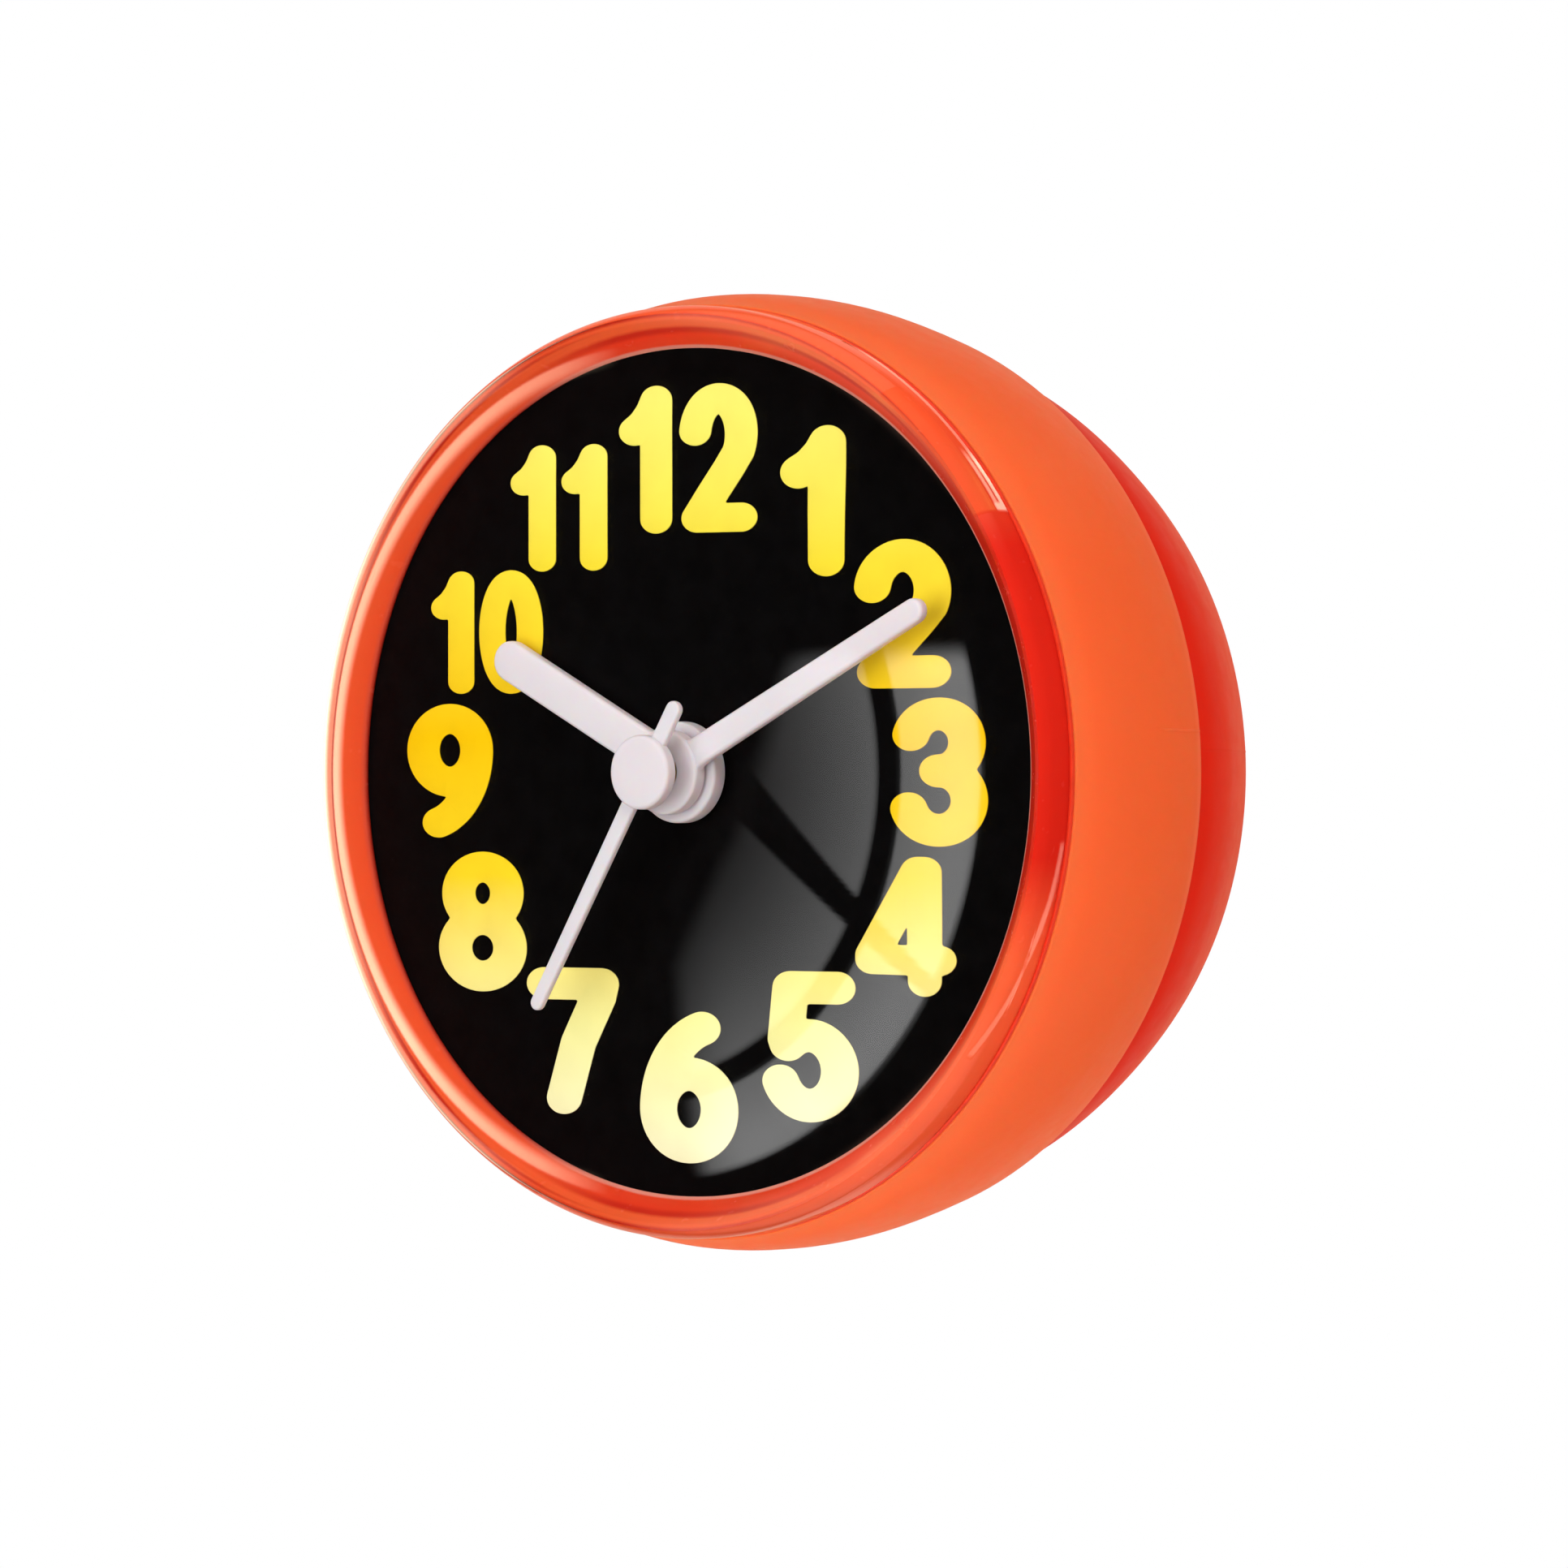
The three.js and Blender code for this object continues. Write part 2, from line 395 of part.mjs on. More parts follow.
// ---------------------------------------------------------------- rear cap, seal, suction cup
{
  const profile = [
    [3.4, 23.4], [SPIGOT_IN_R, 23.4], [SPIGOT_IN_R, SPIGOT_D], [SPIGOT_OUT_R, SPIGOT_D], [SPIGOT_OUT_R, 15.1], [24.8, 15.1], [24.8, 16.1],
    [SPIGOT_OUT_R, 16.1], [26.4, CAP_FRONT_D], [26.4, 24.5], [28.6, 24.5], [30.4, 21.0], [30.4, CAP_FRONT_D], [32.4, CAP_FRONT_D],
    [CAP_MAX_R, 17.8], [32.6, 19.8], [32.05, 22.0], [31.4, 24.0], [29.8, 27.6], [28.75, 29.5], [28.0, 30.2], [27.2, CAP_BACK_D],
    [25.6, CAP_BACK_D], [25.2, 30.1], [25.0, 27.0], [22.5, 25.6], [3.4, 25.6],
  ];
  const lugs = LUG_ANGLES.map((a) => plate(sector(SPIGOT_OUT_R - 0.8, LUG_R, a - LUG_HALF, a + LUG_HALF), SPIGOT_D, REAR_WALL_D - 0.3));
  part('rear_cap', join(turned(profile), ...lugs), ORANGE);

  const seal = [];
  for (let i = 0; i < 8; i++) {
    const a = i / 8 * 2 * Math.PI;
    seal.push([25.42 + 0.44 * Math.cos(a), 15.6 + 0.44 * Math.sin(a)]);
  }
  part('cap_seal', turned(seal, SEG), SEAL);

  part('suction_cup', turned([
    [0, 21.6], [3.6, 21.6], [4.7, 22.2], [4.7, 23.1], [3.0, 23.1], [3.0, 25.9], [8.0, 25.9], [14.0, 27.0], [19.0, 28.9], [22.6, 30.9],
    [CUP_R, 31.75], [CUP_R, WALL_D], [CUP_LIP_IN_R, WALL_D], [15.5, 30.2], [9.0, 28.7], [0, 28.2],
  ], SEG), SOFT);
}

export default clock;
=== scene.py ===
import json
import math

import bmesh
import bpy
import numpy as np
from mathutils import Matrix, Vector
from mathutils.geometry import delaunay_2d_cdt


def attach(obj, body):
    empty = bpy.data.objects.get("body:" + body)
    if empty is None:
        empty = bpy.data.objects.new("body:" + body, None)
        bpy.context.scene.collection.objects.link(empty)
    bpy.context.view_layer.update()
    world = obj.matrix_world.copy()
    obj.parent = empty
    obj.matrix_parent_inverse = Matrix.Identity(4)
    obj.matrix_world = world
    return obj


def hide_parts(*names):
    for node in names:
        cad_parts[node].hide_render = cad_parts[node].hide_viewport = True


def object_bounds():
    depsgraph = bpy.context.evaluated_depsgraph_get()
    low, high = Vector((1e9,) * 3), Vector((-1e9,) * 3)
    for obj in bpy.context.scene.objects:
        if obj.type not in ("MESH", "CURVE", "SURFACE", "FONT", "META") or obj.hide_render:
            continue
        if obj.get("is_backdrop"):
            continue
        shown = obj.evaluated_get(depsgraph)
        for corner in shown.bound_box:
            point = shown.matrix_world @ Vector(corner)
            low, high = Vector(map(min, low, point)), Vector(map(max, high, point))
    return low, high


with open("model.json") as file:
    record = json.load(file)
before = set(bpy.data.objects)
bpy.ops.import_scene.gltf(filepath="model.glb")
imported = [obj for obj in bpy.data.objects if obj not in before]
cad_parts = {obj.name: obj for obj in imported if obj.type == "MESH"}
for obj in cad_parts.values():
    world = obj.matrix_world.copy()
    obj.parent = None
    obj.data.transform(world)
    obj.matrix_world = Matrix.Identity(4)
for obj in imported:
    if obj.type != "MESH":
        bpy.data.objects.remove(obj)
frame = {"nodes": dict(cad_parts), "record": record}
cad_lo, cad_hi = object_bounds()
scene = bpy.context.scene
WALL_D = 32.0


# ------------------------------------------------------------------ mesh helpers
def new_object(name, verts, faces, sharp_deg=32.0):
    mesh = bpy.data.meshes.new(name)
    mesh.from_pydata([tuple(v) for v in verts], [], [tuple(f) for f in faces])
    bm = bmesh.new()
    bm.from_mesh(mesh)
    bmesh.ops.remove_doubles(bm, verts=bm.verts, dist=1e-8)
    bmesh.ops.recalc_face_normals(bm, faces=bm.faces)
    if bm.calc_volume(signed=True) < 0:
        bmesh.ops.reverse_faces(bm, faces=bm.faces)
    bm.to_mesh(mesh)
    bm.free()
    return place_mesh(name, mesh, sharp_deg)


def place_mesh(name, mesh, sharp_deg=32.0):
    mesh.polygons.foreach_set("use_smooth", [True] * len(mesh.polygons))
    mesh.set_sharp_from_angle(angle=math.radians(sharp_deg))
    mesh.update()
    obj = bpy.data.objects.new(name, mesh)
    scene.collection.objects.link(obj)
    return obj


def spline(pts, per=6):
    """Smooth curve through the points (centripetal Catmull-Rom)."""
    p = [np.array(q, float) for q in pts]
    p = [2 * p[0] - p[1]] + p + [2 * p[-1] - p[-2]]
    out = []
    for i in range(1, len(p) - 2):
        t = [0.0]
        for a, b in zip(p[i - 1 : i + 2], p[i : i + 3]):
            t.append(t[-1] + max(1e-9, np.linalg.norm(b - a)) ** 0.5)
        for k in range(per):
            s = t[1] + (t[2] - t[1]) * k / per
            a1 = (t[1] - s) / (t[1] - t[0]) * p[i - 1] + (s - t[0]) / (t[1] - t[0]) * p[i]
            a2 = (t[2] - s) / (t[2] - t[1]) * p[i] + (s - t[1]) / (t[2] - t[1]) * p[i + 1]
            a3 = (t[3] - s) / (t[3] - t[2]) * p[i + 1] + (s - t[2]) / (t[3] - t[2]) * p[i + 2]
            b1 = (t[2] - s) / (t[2] - t[0]) * a1 + (s - t[0]) / (t[2] - t[0]) * a2
            b2 = (t[3] - s) / (t[3] - t[1]) * a2 + (s - t[1]) / (t[3] - t[1]) * a3
            out.append((t[2] - s) / (t[2] - t[1]) * b1 + (s - t[1]) / (t[2] - t[1]) * b2)
    out.append(p[-2])
    return [tuple(q) for q in out]


def rounded(corners, closed=True, n=5):
    """Polyline from (r, d, fillet radius) corners, with each corner rounded to an arc."""
    m = len(corners)
    out = []
    for i, (r, d, rad) in enumerate(corners):
        here = np.array([r, d], float)
        if rad <= 0 or (not closed and i in (0, m - 1)):
            out.append((r, d))
            continue
        a = np.array(corners[i - 1][:2], float) - here
        b = np.array(corners[(i + 1) % m][:2], float) - here
        la, lb = np.linalg.norm(a), np.linalg.norm(b)
        a, b = a / la, b / lb
        half = math.acos(max(-1, min(1, float(a @ b)))) / 2
        cut = min(rad / math.tan(half), 0.45 * la, 0.45 * lb)
        rad = cut * math.tan(half)
        mid = (a + b) / np.linalg.norm(a + b)
        centre = here + mid * rad / math.sin(half)
        p0, p1 = here + a * cut - centre, here + b * cut - centre
        turn = math.atan2(p0[0] * p1[1] - p0[1] * p1[0], float(p0 @ p1))
        for k in range(n + 1):
            t = turn * k / n
            c, s = math.cos(t), math.sin(t)
            out.append((centre[0] + c * p0[0] - s * p0[1], centre[1] + s * p0[0] + c * p0[1]))
    return out


def lathe(name, profile, angles=None, seg=192, shift=None, sharp_deg=32.0):
    """Turned solid. A profile that starts and ends at r = 0 closes on the axis, any other on itself."""
    if angles is None:
        angles = [2 * math.pi * j / seg for j in range(seg)]
    n, m = len(profile), len(angles)
    on_axis = profile[0][0] == 0 and profile[-1][0] == 0
    verts, rows = [], []
    for r, d in profile:
        y = (d - WALL_D) / 1000
        if r == 0:
            rows.append([len(verts)] * m)
            verts.append((0, y, 0))
        else:
            rows.append(list(range(len(verts), len(verts) + m)))
            for a in angles:
                q = r + (shift(a, r, d) if shift else 0.0)
                verts.append((q * math.cos(a) / 1000, y, q * math.sin(a) / 1000))
    faces = []
    for i in range(n - 1 if on_axis else n):
        u, v = rows[i], rows[(i + 1) % n]
        for j in range(m):
            k = (j + 1) % m
            f = []
            for w in (u[j], u[k], v[k], v[j]):
                if w not in f:
                    f.append(w)
            if len(f) > 2:
                faces.append(f)
    return new_object(name, verts, faces, sharp_deg)


def with_seams(seams, seg=192):
    """Even angles, with narrow extra steps round each seam angle (degrees, counter-clockwise from +X seen from the front)."""
    steps = [2 * math.pi * j / seg for j in range(seg)]
    for s in seams:
        c = math.radians(s) % (2 * math.pi)
        steps = [a for a in steps if abs(math.remainder(a - c, 2 * math.pi)) > math.radians(0.6)]
        steps += [(c + math.radians(o)) % (2 * math.pi) for o in (-0.5, -0.16, -0.05, 0.05, 0.16, 0.5)]
    return sorted(steps)


def seam_shift(seams, outer, depth, d0, d1):
    """Fine raised mould line on the outer wall between two depths."""

    def shift(a, r, d):
        if r < outer or not d0 < d < d1:
            return 0.0
        off = min(abs(math.degrees(math.remainder(a - math.radians(s), 2 * math.pi))) for s in seams)
        return depth if off < 0.1 else 0.0

    return shift


def boolean(obj, others, operation):
    for k, o in enumerate(others):
        m = obj.modifiers.new(f"cut{k}", "BOOLEAN")
        m.operation, m.solver, m.object = operation, "EXACT", o
    dg = bpy.context.evaluated_depsgraph_get()
    mesh = bpy.data.meshes.new_from_object(obj.evaluated_get(dg))
    obj.modifiers.clear()
    obj.data = mesh
    bm = bmesh.new()
    bm.from_mesh(mesh)
    bmesh.ops.remove_doubles(bm, verts=bm.verts, dist=2e-7)
    bmesh.ops.dissolve_degenerate(bm, edges=bm.edges, dist=1e-7)
    bm.to_mesh(mesh)
    bm.free()
    mesh.polygons.foreach_set("use_smooth", [True] * len(mesh.polygons))
    mesh.set_sharp_from_angle(angle=math.radians(32))
    for o in others:
        bpy.data.objects.remove(o)
    return obj


# ------------------------------------------------------------------ outlines from distance fields
def d_path(p, path, aspect=1.0):
    """Distance from the points to a polyline. aspect above 1 thins the level strokes."""
    q = p * np.array([1.0, aspect])
    w = np.array(path, float) * np.array([1.0, aspect])
    best = np.full(len(p), 1e9)
    for a, b in zip(w[:-1], w[1:]):
        ab = b - a
        t = np.clip(((q - a) @ ab) / max(1e-12, float(ab @ ab)), 0, 1)
        best = np.minimum(best, np.linalg.norm(q - a - t[:, None] * ab, axis=1))
    return best


def smooth_min(a, b, k):
    h = np.clip(0.5 + 0.5 * (b - a) / k, 0, 1)
    return b * (1 - h) + a * h - k * h * (1 - h)


def gradient(field, p, e=0.01):
    g = np.stack(
        [
            field(p + np.array([e, 0])) - field(p - np.array([e, 0])),
            field(p + np.array([0, e])) - field(p - np.array([0, e])),
        ],
        1,
    )
    return g / np.maximum(np.linalg.norm(g, axis=1), 1e-9)[:, None]


def corners_only(p, tol=0.0015):
    """The loop without the points that lie on a straight run."""
    kept = [p[0]]
    for here, nxt in zip(p[1:], np.vstack([p[2:], p[:1]])):
        run = nxt - kept[-1]
        off = here - kept[-1]
        if abs(run[0] * off[1] - run[1] * off[0]) > tol * np.linalg.norm(run):
            kept.append(here)
    return np.array(kept)


def outline(field, lo, hi, cell, step, snap=True):
    """Closed loops where the field is zero, evenly spaced, the inside on the left."""
    xs, ys = np.arange(lo[0], hi[0] + cell, cell), np.arange(lo[1], hi[1] + cell, cell)
    gx, gy = np.meshgrid(xs, ys)
    f = field(np.stack([gx.ravel(), gy.ravel()], 1)).reshape(gx.shape)
    f = np.where(np.abs(f) < 1e-9, 1e-9, f)
    inside = f < 0
    nxt, point = {}, {}

    def cross(i0, j0, i1, j1):
        key = (min((i0, j0), (i1, j1)), max((i0, j0), (i1, j1)))
        if key not in point:
            t = f[i0, j0] / (f[i0, j0] - f[i1, j1])
            point[key] = (xs[j0] + t * (xs[j1] - xs[j0]), ys[i0] + t * (ys[i1] - ys[i0]))
        return key

    mixed = inside[:-1, :-1].astype(int) + inside[:-1, 1:] + inside[1:, :-1] + inside[1:, 1:]
    for i, j in zip(*np.where((mixed > 0) & (mixed < 4))):
        ring = [(i, j), (i, j + 1), (i + 1, j + 1), (i + 1, j)]
        ins, outs = [], []
        for k in range(4):
            a, b = ring[k], ring[(k + 1) % 4]
            if inside[a] and not inside[b]:
                outs.append((k, cross(*a, *b)))
            if not inside[a] and inside[b]:
                ins.append((k, cross(*a, *b)))
        for k, key in outs:  # walk from where the inside is left to where it was entered
            kk, back = min(ins, key=lambda t: (k - t[0]) % 4)
            nxt[key] = back
    loops = []
    while nxt:
        start = next(iter(nxt))
        loop, key = [], start
        while key in nxt:
            loop.append(point[key])
            key = nxt.pop(key)
        p = np.array(loop)
        for _ in range(4 if snap else 0):
            p = p - gradient(field, p) * field(p)[:, None]
        q = np.vstack([p, p[:1]])
        s = np.concatenate([[0], np.cumsum(np.linalg.norm(np.diff(q, axis=0), axis=1))])
        n = max(12, int(round(s[-1] / step)))
        t = np.arange(n) / n * s[-1]
        p = np.stack([np.interp(t, s, q[:, 0]), np.interp(t, s, q[:, 1])], 1)
        for _ in range(3 if snap else 0):
            p = p - gradient(field, p) * field(p)[:, None]
        loops.append(p if snap else corners_only(p))
    return loops


def inward(p):
    """Unit normals into the shape at each point of a loop that has the inside on its left."""
    t = np.roll(p, -1, 0) - np.roll(p, 1, 0)
    return np.stack([-t[:, 1], t[:, 0]], 1) / np.linalg.norm(t, axis=1)[:, None]


def odd_inside(q, loops):
    hit = np.zeros(len(q), bool)
    for p in loops:
        a, b = p, np.roll(p, -1, 0)
        for (ax, ay), (bx, by) in zip(a, b):
            cross = (ay > q[:, 1]) != (by > q[:, 1])
            if cross.any():
                hit ^= cross & (q[:, 0] < ax + (q[:, 1] - ay) / ((by - ay) or 1e-12) * (bx - ax))
    return hit


def slab(name, field, loops, d0, d1, bevel, nb=3, sharp_deg=32.0):
    """Plate with the outline's shape from depth d0 (front) to d1, its edges rounded. Without a field, the loops' own normals set the edge."""
    ring = []
    for k in range(nb + 1):
        t = math.pi / 2 * k / nb
        ring.append((bevel * (1 - math.sin(t)), d0 + bevel * (1 - math.cos(t))))
    ring += [(i, d1 - (d - d0)) for i, d in reversed(ring)]
    verts, faces, rims = [], [], []
    for p in loops:
        g = gradient(field, p) if field else -inward(p)
        n = len(p)
        rows = []
        for inset, d in ring:
            rows.append(list(range(len(verts), len(verts) + n)))
            for x, z in p - g * inset:
                verts.append((x / 1000, (d - WALL_D) / 1000, z / 1000))
        for u, v in zip(rows[:-1], rows[1:]):
            for j in range(n):
                k = (j + 1) % n
                faces.append((u[j], u[k], v[k], v[j]))
        rims.append((rows[0], rows[-1], p - g * bevel))
    flat = [Vector(q) for r in rims for q in r[2]]
    edges, base = [], 0
    for r in rims:
        n = len(r[2])
        edges += [(base + j, base + (j + 1) % n) for j in range(n)]
        base += n
    co, _, tris, src, _, _ = delaunay_2d_cdt(flat, edges, [], 0, 1e-7)
    front = [v for r in rims for v in r[0]]
    back = [v for r in rims for v in r[1]]
    mid = np.array([[sum(co[v][c] for v in t) / 3 for c in (0, 1)] for t in tris])
    keep = odd_inside(mid, [r[2] for r in rims])
    for t, k in zip(tris, keep):
        if not k:
            continue
        ids = [src[v][0] for v in t]
        faces.append([front[v] for v in ids])
        faces.append([back[v] for v in reversed(ids)])
    return new_object(name, verts, faces, sharp_deg)


def merge(name, objs):
    bm = bmesh.new()
    for o in objs:
        bm.from_mesh(o.data)
    mesh = bpy.data.meshes.new(name)
    bm.to_mesh(mesh)
    bm.free()
    for o in objs:
        bpy.data.objects.remove(o)
    return place_mesh(name, mesh)


# ------------------------------------------------------------------ materials
def srgb(r, g, b):
    def f(c):
        c /= 255
        return c / 12.92 if c <= 0.04045 else ((c + 0.055) / 1.055) ** 2.4

    return (f(r), f(g), f(b), 1.0)


class Mat:
    """Node material on one Principled shader, patterned in the model's own coordinates."""

    def __init__(self, name, **sockets):
        self.m = bpy.data.materials.new(name)
        self.m.use_nodes = True
        self.t = self.m.node_tree
        self.p = next(n for n in self.t.nodes if n.type == "BSDF_PRINCIPLED")
        self.co = self.t.nodes.new("ShaderNodeTexCoord").outputs["Object"]
        for k, v in sockets.items():
            self.p.inputs[k.replace("_", " ")].default_value = v

    def node(self, kind, **values):
        n = self.t.nodes.new(kind)
        for k, v in values.items():
            if k in n.inputs:
                n.inputs[k].default_value = v
            else:
                setattr(n, k, v)
        return n

    def link(self, a, b):
        self.t.links.new(a, b)

    def noise(self, scale, detail=3.0, rough=0.55, stretch=None):
        n = self.node("ShaderNodeTexNoise", Scale=scale, Detail=detail, Roughness=rough)
        src = self.co
        if stretch:
            mp = self.node("ShaderNodeMapping")
            mp.inputs["Scale"].default_value = stretch
            self.link(src, mp.inputs["Vector"])
            src = mp.outputs["Vector"]
        self.link(src, n.inputs["Vector"])
        return n.outputs["Fac"]

    def ramp(self, fac, stops):
        r = self.node("ShaderNodeValToRGB")
        e = r.color_ramp.elements
        while len(e) < len(stops):
            e.new(0.5)
        for el, (pos, col) in zip(e, stops):
            el.position, el.color = pos, col
        self.link(fac, r.inputs["Fac"])
        return r.outputs["Color"]

    def span(self, fac, lo, hi, a=0.0, b=1.0):
        r = self.node("ShaderNodeMapRange")
        for k, v in zip(("From Min", "From Max", "To Min", "To Max"), (lo, hi, a, b)):
            r.inputs[k].default_value = v
        self.link(fac, r.inputs["Value"])
        return r.outputs["Result"]

    def vary(self, colour, scale, amount=0.06, detail=3.0, stretch=None):
        """Base colour that wanders a little about its mean."""
        lo = tuple(c * (1 - amount) for c in colour[:3]) + (1,)
        hi = tuple(min(1.0, c * (1 + amount)) for c in colour[:3]) + (1,)
        f = self.noise(scale, detail, stretch=stretch)
        self.link(self.ramp(f, [(0.3, lo), (0.7, hi)]), self.p.inputs["Base Color"])
        return self

    def along(self, axis, lo, hi, stops, scale=90, amount=0.02, wander=0.0):
        """Base colour that follows depth (Y) or height (Z), in metres, and wanders a little."""
        sep = self.node("ShaderNodeSeparateXYZ")
        self.link(self.co, sep.inputs["Vector"])
        return self.tinted(sep.outputs[axis], lo, hi, stops, scale, amount, wander)

    def across(self, lo, hi, stops, scale=90, amount=0.02, wander=0.0):
        """Base colour that follows the distance from the clock's axis, in metres."""
        sep = self.node("ShaderNodeSeparateXYZ")
        self.link(self.co, sep.inputs["Vector"])
        flat = self.node("ShaderNodeCombineXYZ")
        self.link(sep.outputs["X"], flat.inputs["X"])
        self.link(sep.outputs["Z"], flat.inputs["Y"])
        out = self.node("ShaderNodeVectorMath", operation="LENGTH")
        self.link(flat.outputs["Vector"], out.inputs[0])
        return self.tinted(out.outputs["Value"], lo, hi, stops, scale, amount, wander)

    def tinted(self, value, lo, hi, stops, scale, amount, wander):
        wob = self.node("ShaderNodeMath", operation="MULTIPLY_ADD")
        self.link(self.noise(900, 2), wob.inputs[0])
        wob.inputs[1].default_value = wander
        self.link(value, wob.inputs[2])
        hsv = self.node("ShaderNodeHueSaturation")
        self.link(self.ramp(self.span(wob.outputs[0], lo, hi), stops), hsv.inputs["Color"])
        self.link(self.span(self.noise(scale), 0.3, 0.7, 1 - amount, 1 + amount), hsv.inputs["Value"])
        self.link(hsv.outputs["Color"], self.p.inputs["Base Color"])
        return self

    def rough(self, lo, hi, scale, detail=3.0, stretch=None):
        f = self.noise(scale, detail, stretch=stretch)
        self.link(self.span(f, 0.3, 0.7, lo, hi), self.p.inputs["Roughness"])
        return self

    def bump(self, scale, strength, distance, detail=2.0, stretch=None):
        f = self.noise(scale, detail, stretch=stretch)
        b = self.node("ShaderNodeBump", Strength=strength, Distance=distance)
        self.link(f, b.inputs["Height"])
        self.link(b.outputs["Normal"], self.p.inputs["Normal"])
        return self


def moulded(name, sss):
    """Glossy plastic that glows a little from within, redder in its shaded parts."""
    m = Mat(name, IOR=1.5, Specular_IOR_Level=0.1, Subsurface_Weight=sss, Subsurface_Scale=0.0025)
    m.p.inputs["Subsurface Radius"].default_value = (1.0, 0.12, 0.04)
    return m.rough(0.34, 0.42, 700).bump(2600, 0.06, 0.00008)


def depth(d):
    return (d - WALL_D) / 1000


# The drum's colour carries painted highlights: it is painted a little lighter along its front and back edges, where
# their roundings catch the light.
orange = moulded("moulded_orange", 0.5)
orange.along(
    "Y",
    depth(0.0),
    depth(20.0),
    [
        (0.04, (0.96, 0.150, 0.042, 1)),
        (0.14, (0.95, 0.128, 0.032, 1)),
        (0.78, (0.95, 0.122, 0.030, 1)),
        (0.805, (1.0, 0.150, 0.055, 1)),
        (0.82, (0.95, 0.10, 0.028, 1)),
    ],
)

# The cap behind it is a redder orange than the drum; on that, painted shade makes it deep red next to the drum, where
# the drum's overhang shades it, and it grows lighter towards the wall.
deep = moulded("moulded_deep_orange_painted_shade", 0.5)
deep.p.inputs["Specular IOR Level"].default_value = 0.05
deep.along("Y", depth(17.0), depth(27.0), [(0.0, (0.74, 0.015, 0.006, 1)), (0.45, (0.80, 0.026, 0.009, 1)), (1.0, (0.88, 0.060, 0.018, 1))])

# The ring's colour is painted light and shade: painted orange light on the left, painted shade as darker lines at the
# top and the bottom and as deep red on the right, painted lit orange at the upper and lower right, and a painted pale
# highlight where it ends on the dial.
red = Mat("bezel_red_painted_light_and_shade", IOR=1.5, Specular_IOR_Level=0.2, Subsurface_Weight=0.3, Subsurface_Scale=0.0012)
red.p.inputs["Subsurface Radius"].default_value = (1.0, 0.12, 0.04)
# A pale painted highlight on the ring's inner edge at the dial, and deep painted shade.
PAINTED_PALE_HIGHLIGHT, PAINTED_DEEP_SHADE = (0.86, 0.27, 0.20, 1), (0.71, 0.022, 0.010, 1)
# Painted lit orange, and dusk painted shade for the dark lines.
PAINTED_LIT_ORANGE, PAINTED_DUSK_SHADE = (0.98, 0.130, 0.036, 1), (0.70, 0.024, 0.010, 1)


def ring_colours(*stops):
    """Colours by distance from the axis in millimetres."""
    red.across(0.0308, 0.0338, [((r - 30.8) / 3.0, c) for r, c in stops], scale=300, wander=0.00004)
    return red.p.inputs["Base Color"].links[0].from_socket


def blend(a, b, fac):
    mix = red.node("ShaderNodeMix", data_type="RGBA")
    red.link(fac, mix.inputs[0])
    red.link(a, mix.inputs[6])
    red.link(b, mix.inputs[7])
    return mix.outputs[2]


def times(a, b):
    n = red.node("ShaderNodeMath", operation="MULTIPLY")
    red.link(a, n.inputs[0])
    red.link(b, n.inputs[1])
    return n.outputs["Value"]


# Painted light on the left, with painted shade as dark bands at the ring's foot and near its crest.
painted_left_light = ring_colours(
    (30.88, (0.34, 0.020, 0.010, 1)),
    (31.06, (0.80, 0.085, 0.040, 1)),
    (31.22, (0.95, 0.095, 0.028, 1)),
    (32.70, (0.98, 0.120, 0.034, 1)),
    (32.79, (0.62, 0.026, 0.012, 1)),
    (32.85, (0.62, 0.026, 0.012, 1)),
    (32.98, (0.95, 0.100, 0.032, 1)),
)
# Painted shade as dark lines at the top and the bottom, painted lit orange between them.
painted_shade_lines = ring_colours(
    (31.06, PAINTED_PALE_HIGHLIGHT),
    (31.18, (0.95, 0.060, 0.019, 1)),
    (31.85, (0.95, 0.050, 0.016, 1)),
    (32.1, PAINTED_DUSK_SHADE),
    (32.25, PAINTED_DUSK_SHADE),
    (32.45, PAINTED_LIT_ORANGE),
    (33.0, PAINTED_LIT_ORANGE),
    (33.18, PAINTED_DUSK_SHADE),
    (33.32, PAINTED_LIT_ORANGE),
)
# The same painted lines made dimmer: painted shade at the bottom.
low = ring_colours(
    (31.06, PAINTED_PALE_HIGHLIGHT),
    (31.18, (0.78, 0.052, 0.015, 1)),
    (31.85, (0.78, 0.044, 0.013, 1)),
    (32.1, (0.60, 0.020, 0.008, 1)),
    (32.25, (0.60, 0.020, 0.008, 1)),
    (32.45, (0.84, 0.110, 0.030, 1)),
    (33.0, (0.84, 0.110, 0.030, 1)),
    (33.18, (0.60, 0.020, 0.008, 1)),
    (33.32, (0.84, 0.110, 0.030, 1)),
)
# Painted light at the upper right.
lit = ring_colours(
    (31.04, PAINTED_PALE_HIGHLIGHT),
    (31.2, (0.76, 0.040, 0.013, 1)),
    (32.4, (0.76, 0.046, 0.015, 1)),
    (33.0, (0.80, 0.090, 0.030, 1)),
)
# Painted light at the lower right.
lit_low = ring_colours(
    (31.04, PAINTED_PALE_HIGHLIGHT),
    (31.2, (0.95, 0.062, 0.019, 1)),
    (32.1, (0.96, 0.070, 0.022, 1)),
    (32.6, (1.0, 0.125, 0.042, 1)),
    (33.3, (1.0, 0.150, 0.052, 1)),
)
# Painted shade on the right.
shaded = ring_colours((31.02, PAINTED_PALE_HIGHLIGHT), (31.14, PAINTED_DEEP_SHADE), (33.6, PAINTED_DEEP_SHADE))
